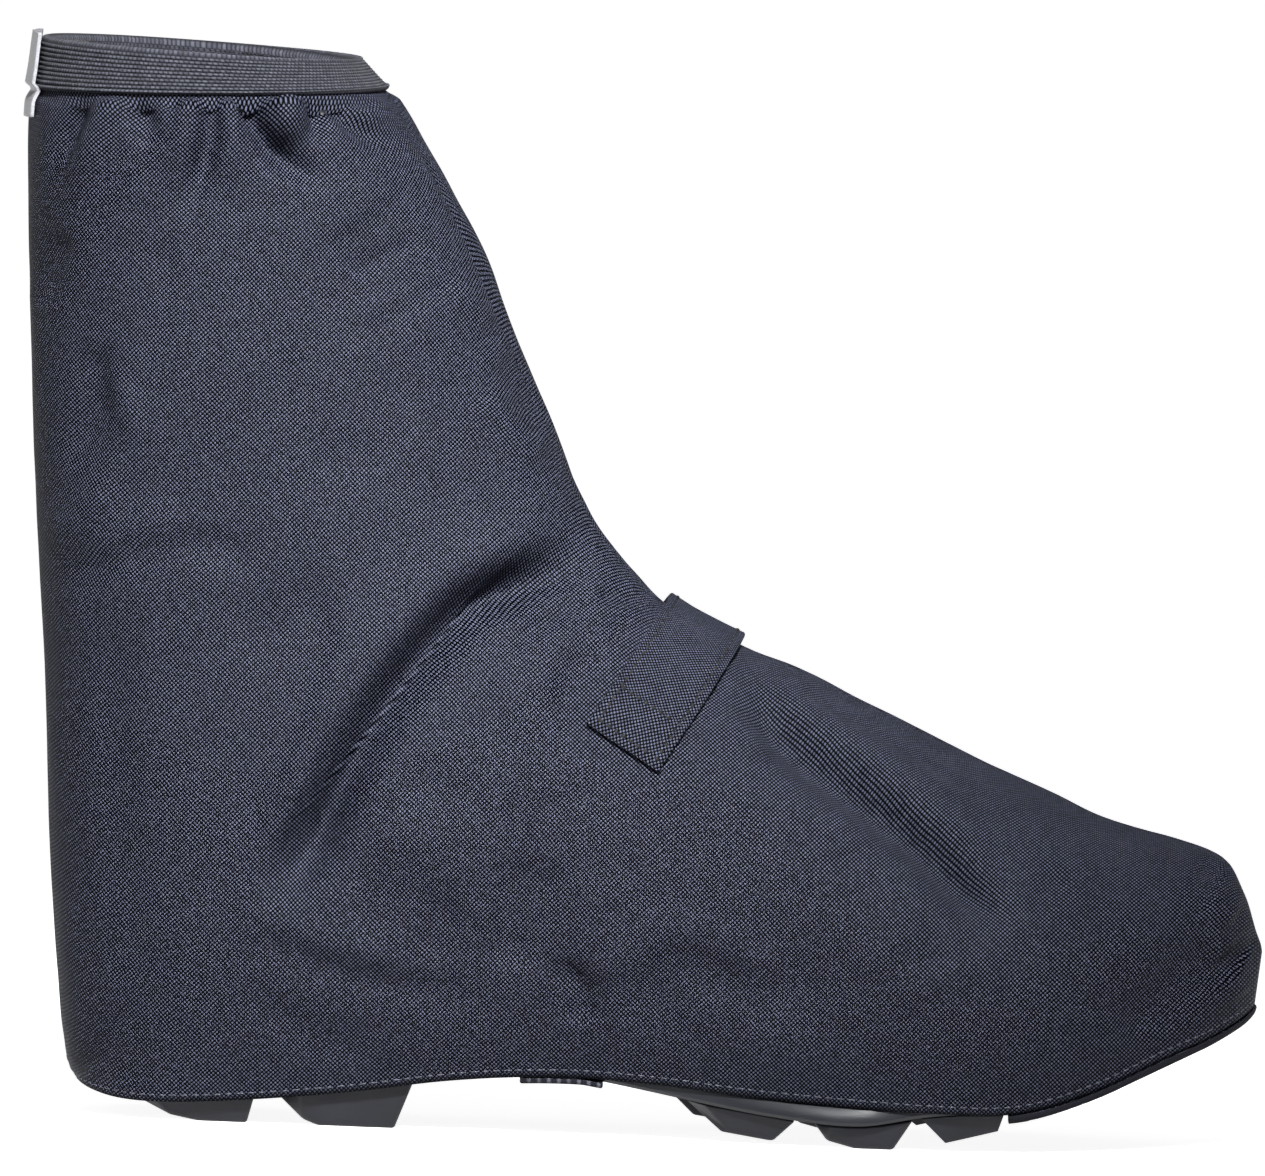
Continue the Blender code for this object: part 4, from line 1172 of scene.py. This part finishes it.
class OVERSHOE_OT_loop_patch(bpy.types.Operator):
    """Loop pile patch inside the back of the collar"""

    bl_idname = "overshoe.loop_patch"
    bl_label = "Loop patch"

    def execute(self, context):
        turn = 2.0 * PATCH_LENGTH / girth(PLACE_TOP)
        face = WALL + 2.0 * GAP + BAND_THICKNESS * 1.1
        low = collar_place(-PATCH_HEIGHT)
        rows, columns = 40, 72
        half = columns // 2

        def place_at(row, col):
            side = 1 if col <= half else -1
            across = (col if side > 0 else columns - col) / half
            place = low + (PLACE_TOP - low) * row / rows
            around = 1.0 - turn * (0.06 + 0.94 * across)
            if side < 0:
                return off_upper(place, around, -face)
            edge = min(across, 1.0 - across, row / rows, 1.0 - row / rows)
            base = off_upper(place, around, -face)
            tuft = noise.noise(base * 1700.0) * 0.0005 + 0.0011
            return off_upper(place, around, -face - tuft * min(1.0, edge * 14.0))

        def way_at(row, col, middle):
            return col / columns, row / rows

        shape = sheet(rows, columns, place_at, way_at)
        finish_piece("collar_pile_patch", shape, [loop_pile()], ["collar_loop_patch"])
        return {"FINISHED"}


class OVERSHOE_OT_reflective_tab(bpy.types.Operator):
    """Reflective tape over the collar band at the back seam"""

    bl_idname = "overshoe.reflective_tab"
    bl_label = "Reflective tab"

    def execute(self, context):
        turn = TAB_WIDTH / girth(PLACE_TOP)
        low = collar_place(TAB_RISE - TAB_HEIGHT)
        over_band = GAP + BAND_THICKNESS + 0.0011
        rows, steps = 36, 24
        section = rounded_section(2.0, TAB_THICKNESS, steps)

        def place_at(row, col):
            across, lift = section[col]
            share = max(-1.0, min(1.0, across))
            around = 1.0 - abs(turn * share) if share > 0 else abs(turn * share) - 1.0
            rise = row / rows
            place = low + (PLACE_TOP - low) * rise
            covered = smooth_step((place - PLACE_BAND) / (PLACE_TOP - PLACE_BAND) / 0.10 + 1.0)
            seat = off_upper(place, around, GAP + 0.0002 + (over_band - GAP) * float(covered))
            seat.z += TAB_RISE * rise
            outward = upper_normal(place, around)
            outward.z = 0.0
            return seat + outward.normalized() * lift

        def way_at(row, col, middle):
            return section[col][0] * TAB_WIDTH / 2.0, row / rows * TAB_HEIGHT

        shape = sheet(rows, len(section) - 1, place_at, way_at)
        finish_piece("reflective_back_tab", shape, [reflective_tape()], ["reflective_tab"])
        return {"FINISHED"}


class OVERSHOE_OT_instep_strap(bpy.types.Operator):
    """Fabric strap over the instep with its doubled end and its stitches"""

    bl_idname = "overshoe.instep_strap"
    bl_label = "Instep strap"

    def execute(self, context):
        fabric, trim = context.scene.overshoe_fabric, context.scene.overshoe_trim
        depth = fabric.fold_depth
        rows, steps = 90, 12
        reach = STRAP_DROP_OUT + STRAP_DROP_IN + BALL_WIDTH * 0.5
        end_share = STRAP_END_LENGTH / reach
        section = rounded_section(STRAP_WIDTH, STRAP_THICKNESS, steps)

        def seat(offset, share):
            point, outward = strap_seat(round(offset, 5), round(share, 5), depth)
            bow = max(0.0, 1.0 - (share - 0.46) ** 2 / 0.12) ** 2 * STRAP_SLACK
            return point + outward * (GAP + bow), outward

        def thickness(share):
            step = float(smooth_step((end_share + 0.006 - share) / 0.006))
            return STRAP_THICKNESS + (STRAP_END_THICKNESS - STRAP_THICKNESS) * step

        def place_at(row, col):
            share = row / rows
            offset, lift = section[col]
            point, outward = seat(offset, share)
            ends = min(1.0, math.sqrt(max(min(share, 1.0 - share) / 0.006, 0.15)))
            raised = lift / STRAP_THICKNESS * thickness(share)
            return point + outward * (raised - 0.5 * thickness(share)) * ends + outward * 0.5 * thickness(share)

        def way_at(row, col, middle):
            return section[col][0] + 0.2, row / rows * reach

        shape = sheet(rows, len(section) - 1, place_at, way_at, "weave")
        strap = finish_piece(
            "fabric_instep_strap", shape, [bpy.data.materials["oxford_fabric"]], ["instep_strap"]
        )
        strap.data.set_sharp_from_angle(angle=math.radians(60))

        stitches = bmesh.new()

        def line(ends, fixed, lengthwise, inside):
            points, outwards = [], []
            for k in range(41):
                t = ends[0] + (ends[1] - ends[0]) * k / 40.0
                offset, share = (fixed, t) if lengthwise else (t, fixed)
                point, outward = seat(offset, share)
                points.append(point + outward * thickness(share + inside))
                outwards.append(outward)
            # Beads are drawn at 2.2 times the thread's radius so that the painted shade of the stitch holes shows.
            stitch_line(
                stitches, points, outwards, trim.stitch_pitch * 0.8, trim.stitch_pitch * 0.5, trim.thread_radius * 2.2
            )

        margin = STRAP_WIDTH / 2.0 - 0.0022
        line((0.012, 0.988), -margin, True, 0.0)
        line((0.012, 0.988), margin, True, 0.0)
        line((-margin, margin), 0.016, False, 0.0)
        line((-margin, margin), end_share - 0.004, False, 0.0)
        line((-margin, margin), 0.985, False, 0.0)
        # Near-black thread: partly the thread's own dark colour, partly painted shade standing in for the shade in the
        # stitch holes.
        thread_with_painted_hole_shade = sewing_thread("thread_with_painted_hole_shade", "010102", "06060a")
        finish_piece("instep_strap_stitches", stitches, [thread_with_painted_hole_shade])
        return {"FINISHED"}


class OVERSHOE_OT_hem_stitches(bpy.types.Operator):
    """Stitches that hold the folded hem, all the way round the foot"""

    bl_idname = "overshoe.hem_stitches"
    bl_label = "Hem stitches"

    def execute(self, context):
        fabric, trim = context.scene.overshoe_fabric, context.scene.overshoe_trim
        skin = cloth(fabric.fold_depth)
        stitches = bmesh.new()
        for side in (0, 1):
            points, outwards = [], []
            for row in range(6, FOOT_ROWS + 6):
                cols = range(0, 12) if side == 0 else range(ALL_COLUMNS, ALL_COLUMNS - 12, -1)
                up = [skin.hem_up[row, c] for c in cols]
                at = np.array([np.interp(0.0021, up, [skin.points[row, c][k] for c in cols]) for k in range(3)])
                out = np.array([np.interp(0.0021, up, [skin.normals[row, c][k] for c in cols]) for k in range(3)])
                points.append(Vector(at))
                outwards.append(Vector(out).normalized())
            stitch_line(
                stitches, points, outwards, trim.stitch_pitch, trim.stitch_pitch * 0.72, trim.thread_radius
            )
        hem_thread = sewing_thread("hem_thread", "3a3c48", "6c6f7c")
        finish_piece("hem_stitches", stitches, [hem_thread])
        return {"FINISHED"}


class OVERSHOE_OT_arch_strap(bpy.types.Operator):
    """Elastic strap under the arch"""

    bl_idname = "overshoe.arch_strap"
    bl_label = "Arch strap"

    def execute(self, context):
        rows, steps = 40, 14
        section = rounded_section(ARCH_STRAP_WIDTH, ARCH_STRAP_THICKNESS, steps)
        rib = context.scene.overshoe_trim.rib_pitch

        def place_at(row, col):
            across, lift = section[col]
            x = along(ARCH_STRAP_MIDDLE) + across
            outer, inner = hem_at(x, -1), hem_at(x, 1)
            corner = outer.lerp(inner, row / rows)
            corner.z = min(outer.z, inner.z, plate_bottom(x)) - GAP - ARCH_STRAP_THICKNESS + lift
            return corner

        def way_at(row, col, middle):
            return row / rows * 0.07, section[col][0]

        shape = sheet(rows, len(section) - 1, place_at, way_at)
        finish_piece("elastic_arch_strap", shape, [bpy.data.materials["elastic_webbing"]], ["arch_strap"])
        return {"FINISHED"}


class OVERSHOE_OT_toe_underlay(bpy.types.Operator):
    """Fabric under the toe, with the binding that runs along its edge"""

    bl_idname = "overshoe.toe_underlay"
    bl_label = "Toe underlay"

    def execute(self, context):
        back = hem_place(along(UNDERLAY_BACK))
        rows, columns = 48, 40
        half = columns // 2

        def place_at(row, col):
            place = back * (row / rows) ** 2
            low = col <= half
            across = (col if low else columns - col) / half
            corner = upper_point(place, -1.0).lerp(upper_point(place, 1.0), across)
            corner.z -= GAP + (UNDERLAY_THICKNESS if low else 0.0)
            return corner

        def way_at(row, col, middle):
            point = place_at(row, col)
            return point.x, point.y

        shape = sheet(rows, columns, place_at, way_at, "weave")
        finish_piece(
            "fabric_toe_underlay", shape, [bpy.data.materials["oxford_fabric"]], ["toe_underlay"]
        )

        binding = bmesh.new()
        for side in (-1, 1):
            line = []
            for k in range(81):
                place = back * (1.0 - k / 80.0) ** 2
                point = upper_point(place, side)
                line.append(point + Vector((0.0, 0.0, -GAP - UNDERLAY_THICKNESS * 0.5)))
            self.add_tube(binding, line, 0.0007)
        finish_piece("toe_binding", binding, [bpy.data.materials["elastic_webbing"]])
        return {"FINISHED"}

    def add_tube(self, shape, line, radius):
        """A round tube along a line, closed at both ends."""
        sides = 8
        way = shape.loops.layers.uv.verify()
        rings = []
        for k, point in enumerate(line):
            run = (line[min(k + 1, len(line) - 1)] - line[max(k - 1, 0)]).normalized()
            across = run.cross(Vector((0.0, 0.0, 1.0))).normalized()
            up = across.cross(run)
            swell = 1.35 if k < 3 else 1.0
            ring = []
            for n in range(sides):
                turn = 2.0 * math.pi * n / sides
                ring.append(shape.verts.new(point + (across * math.cos(turn) * 0.7 + up * math.sin(turn)) * radius * swell))
            rings.append(ring)
        for k, (near, far) in enumerate(zip(rings, rings[1:])):
            for n in range(sides):
                face = shape.faces.new((near[n], near[(n + 1) % sides], far[(n + 1) % sides], far[n]))
                for loop, (a, b) in zip(face.loops, ((k, n), (k, n + 1), (k + 1, n + 1), (k + 1, n))):
                    loop[way].uv = (a * 0.001, b * 0.0008)
        shape.faces.new(rings[0])
        shape.faces.new(rings[-1])


class OVERSHOE_OT_sole_plate(bpy.types.Operator):
    """Moulded sole plate with a rounded rim and its ledge at the ball"""

    bl_idname = "overshoe.sole_plate"
    bl_label = "Sole plate"

    def execute(self, context):
        places = [row_place(row) for row in range(FOOT_ROWS + 1)]
        outer = [upper_point(place, -1.0) for place in places]
        inner = [upper_point(place, 1.0) for place in places]
        loop = outer + inner[-2:0:-1]

        def inset_side(inset):
            moved = []
            for i, here in enumerate(loop):
                before, after = loop[i - 1], loop[(i + 1) % len(loop)]
                run = Vector((after.x - before.x, after.y - before.y, 0.0)).normalized()
                moved.append(here + Vector((run.y, -run.x, 0.0)) * inset(here, min(i, len(loop) - i) / FOOT_ROWS))
            return moved[: FOOT_ROWS + 1], [moved[0], *moved[: FOOT_ROWS : -1], moved[FOOT_ROWS]]

        def tucked(here, share):
            toe = PLATE_TOE_INSET * max(0.0, 1.0 - share / 0.45)
            heel = PLATE_HEEL_INSET * max(0.0, share / 0.2 - 4.0)
            return WALL + GAP + toe + heel

        def ledged(here, share):
            return tucked(here, share) - plate_row(here.x, "ledge")

        top = inset_side(tucked)
        rim = inset_side(ledged)
        under = inset_side(lambda here, share: ledged(here, share) + 0.0008)
        across = 12

        def section(row):
            """Corners round the plate at one station, as points."""
            base = plate_bottom(top[0][row].x)
            high = base + PLATE_THICKNESS
            fall = plate_row(top[0][row].x, "ledge")
            ledge = high - (high - outer[row].z) - 0.0012 - fall * 0.4 if fall > 0.0001 else high - 0.001
            ledge = max(ledge, base + 0.0012)
            corners = []
            for k in range(across + 1):
                point = top[0][row].lerp(top[1][row], k / across)
                corners.append(Vector((point.x, point.y, high)))
            for side, level in ((1, ledge), (1, base + 0.0008)):
                corners.append(Vector((rim[side][row].x, rim[side][row].y, level)))
            for k in range(across + 1):
                point = under[1][row].lerp(under[0][row], k / across)
                corners.append(Vector((point.x, point.y, base)))
            for side, level in ((0, base + 0.0008), (0, ledge)):
                corners.append(Vector((rim[side][row].x, rim[side][row].y, level)))
            corners.append(corners[0])
            return corners

        stations = [section(row) for row in range(FOOT_ROWS + 1)]

        def place_at(row, col):
            return stations[row][col]

        def way_at(row, col, middle):
            return stations[row][col].x, stations[row][col].y

        shape = sheet(FOOT_ROWS, len(stations[0]) - 1, place_at, way_at)
        nylon = moulded("glass_filled_nylon", "1d1f26", "262830", 0.34, 0.0004, 0.00003)
        plate = finish_piece("moulded_sole_plate", shape, [nylon], ["sole_plate"])
        plate.data.set_sharp_from_angle(angle=math.radians(42))
        return {"FINISHED"}


class OVERSHOE_OT_tread(bpy.types.Operator):
    """Rubber tread blocks with rounded edges"""

    bl_idname = "overshoe.tread"
    bl_label = "Tread blocks"

    def execute(self, context):
        radius = context.scene.overshoe_sole.edge_radius
        # Rubber mix as moulded: satin, nearly black, with dusty marks here and there.
        rubber = moulded("moulded_rubber", "18191f", "23242b", 0.46, 0.0005, 0.00004)
        for name, node in sorted(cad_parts.items()):
            if not name.startswith("tread_"):
                continue
            shape = bmesh.new()
            shape.from_mesh(node.data)
            bmesh.ops.remove_doubles(shape, verts=shape.verts, dist=1e-5)
            bmesh.ops.dissolve_limit(
                shape, angle_limit=math.radians(3), verts=shape.verts, edges=shape.edges
            )
            sharp = [edge for edge in shape.edges if edge.calc_face_angle(0.0) > math.radians(20)]
            bmesh.ops.bevel(
                shape, geom=sharp, offset=radius, segments=3, profile=0.5, affect="EDGES", material=-1, clamp_overlap=True
            )
            bmesh.ops.triangulate(shape, faces=[face for face in shape.faces if len(face.verts) > 4])
            block = finish_piece(name.replace("tread_", "rubber_block_"), shape, [rubber], [name])
            block.data.set_sharp_from_angle(angle=math.radians(50))
        return {"FINISHED"}


class OVERSHOE_OT_stage(bpy.types.Operator):
    """Pale floor, soft studio light and the camera"""

    bl_idname = "overshoe.stage"
    bl_label = "Stage"

    def execute(self, context):
        stage = context.scene.overshoe_stage
        context.scene.view_settings.view_transform = "Standard"
        context.scene.view_settings.look = "None"

        shape = bmesh.new()
        bmesh.ops.create_circle(shape, cap_ends=True, segments=96, radius=40.0)
        mesh = bpy.data.meshes.new("floor")
        shape.to_mesh(mesh)
        shape.free()
        floor = bpy.data.objects.new("floor", mesh)
        context.scene.collection.objects.link(floor)
        # Matt white studio paper.
        paper, tree, shader = surface("studio_paper", 0.9)
        shader.inputs["Base Color"].default_value = (*linear("f2f2f2"), 1.0)
        shader.inputs["Emission Color"].default_value = (1.0, 1.0, 1.0, 1.0)
        shader.inputs["Emission Strength"].default_value = 0.9
        mesh.materials.append(paper)
        # A light table: it shines up to the lens, and throws no light back on the shoe.
        floor.visible_diffuse = False

        world = bpy.data.worlds.new("studio")
        world.use_nodes = True
        tree = world.node_tree
        # White all round at eye level, dimmer overhead, and nearly black below the floor.
        way = add(tree, "TexCoord").outputs["Generated"]
        rise = add(tree, "SeparateXYZ", None, {0: way}).outputs[2]
        low = add(
            tree, "MapRange", {"interpolation_type": "SMOOTHSTEP"},
            {"Value": rise, "From Min": -0.06, "From Max": -0.01, "To Min": 0.04, "To Max": 1.0},
        ).outputs[0]
        high = add(
            tree, "MapRange", {"interpolation_type": "SMOOTHSTEP"},
            {"Value": rise, "From Min": 0.02, "From Max": 0.08, "To Min": 1.0, "To Max": 0.13},
        ).outputs[0]
        light = add(tree, "Math", {"operation": "MULTIPLY"}, {0: low, 1: high}).outputs[0]
        tree.links.new(light, tree.nodes["Background"].inputs["Strength"])
        tree.nodes["Background"].inputs["Color"].default_value = (1.0, 1.0, 1.0, 1.0)
        context.scene.world = world

        self.add_light("key_light", (0.2, -1.8, 1.5), 0.36, 1.5, 17.0)
        self.add_light("fill_light", (-0.9, -2.0, 0.9), 0.9, 0.5, 60.0)

        camera = bpy.data.objects.new("camera", bpy.data.cameras.new("camera"))
        context.scene.collection.objects.link(camera)
        target = Vector((-0.0020, 0.0, 0.1355))
        tilt, roll = stage.camera_elevation, stage.camera_roll
        back = Vector((0.0, -math.cos(tilt), math.sin(tilt)))
        up = Vector((0.0, math.sin(tilt), math.cos(tilt)))
        right = Vector((1.0, 0.0, 0.0))
        rolled_right = right * math.cos(roll) + up * math.sin(roll)
        rolled_up = up * math.cos(roll) - right * math.sin(roll)
        turn = Matrix((rolled_right, rolled_up, back)).transposed().to_4x4()
        turn.translation = target + back * stage.camera_distance
        camera.matrix_world = turn
        camera.data.sensor_width = 36.0
        camera.data.lens = 36.0 * stage.camera_distance / stage.view_width
        camera.data.clip_end = 200.0
        context.scene.camera = camera
        return {"FINISHED"}

    def add_light(self, name, place, size, power, spread):
        """A square soft light with a honeycomb grid, aimed at the ankle. Spread is in degrees."""
        light = bpy.data.lights.new(name, "AREA")
        light.size = size
        light.energy = power
        light.spread = math.radians(spread)
        lamp = bpy.data.objects.new(name, light)
        lamp.location = place
        lamp.rotation_euler = (Vector(place) - Vector((-0.07, -0.04, 0.19))).to_track_quat("Z", "Y").to_euler()
        bpy.context.scene.collection.objects.link(lamp)


OPERATORS = (
    OVERSHOE_OT_upper,
    OVERSHOE_OT_hem_stitches,
    OVERSHOE_OT_collar_band,
    OVERSHOE_OT_loop_patch,
    OVERSHOE_OT_reflective_tab,
    OVERSHOE_OT_instep_strap,
    OVERSHOE_OT_arch_strap,
    OVERSHOE_OT_toe_underlay,
    OVERSHOE_OT_sole_plate,
    OVERSHOE_OT_tread,
    OVERSHOE_OT_stage,
)
SETTINGS = {
    "overshoe_fabric": OvershoeFabric,
    "overshoe_trim": OvershoeTrim,
    "overshoe_sole": OvershoeSole,
    "overshoe_stage": OvershoeStage,
}


class OVERSHOE_PT_panel(bpy.types.Panel):
    """Settings and pieces of the overshoe"""

    bl_idname = "OVERSHOE_PT_panel"
    bl_label = "Overshoe"
    bl_space_type = "VIEW_3D"
    bl_region_type = "UI"
    bl_category = "Overshoe"

    def draw(self, context):
        layout = self.layout
        for name, group in SETTINGS.items():
            box = layout.box()
            for setting in group.__annotations__:
                box.prop(getattr(context.scene, name), setting)
        for operator in OPERATORS:
            layout.operator(operator.bl_idname)


def register():
    for made in (*SETTINGS.values(), *OPERATORS, OVERSHOE_PT_panel):
        bpy.utils.register_class(made)
    for name, group in SETTINGS.items():
        setattr(bpy.types.Scene, name, bpy.props.PointerProperty(type=group))


def unregister():
    for name in SETTINGS:
        delattr(bpy.types.Scene, name)
    for made in (OVERSHOE_PT_panel, *reversed(OPERATORS), *reversed(SETTINGS.values())):
        bpy.utils.unregister_class(made)


def main():
    register()
    for operator in OPERATORS:
        group, name = operator.bl_idname.split(".")
        getattr(getattr(bpy.ops, group), name)()


if __name__ == "__main__":
    main()
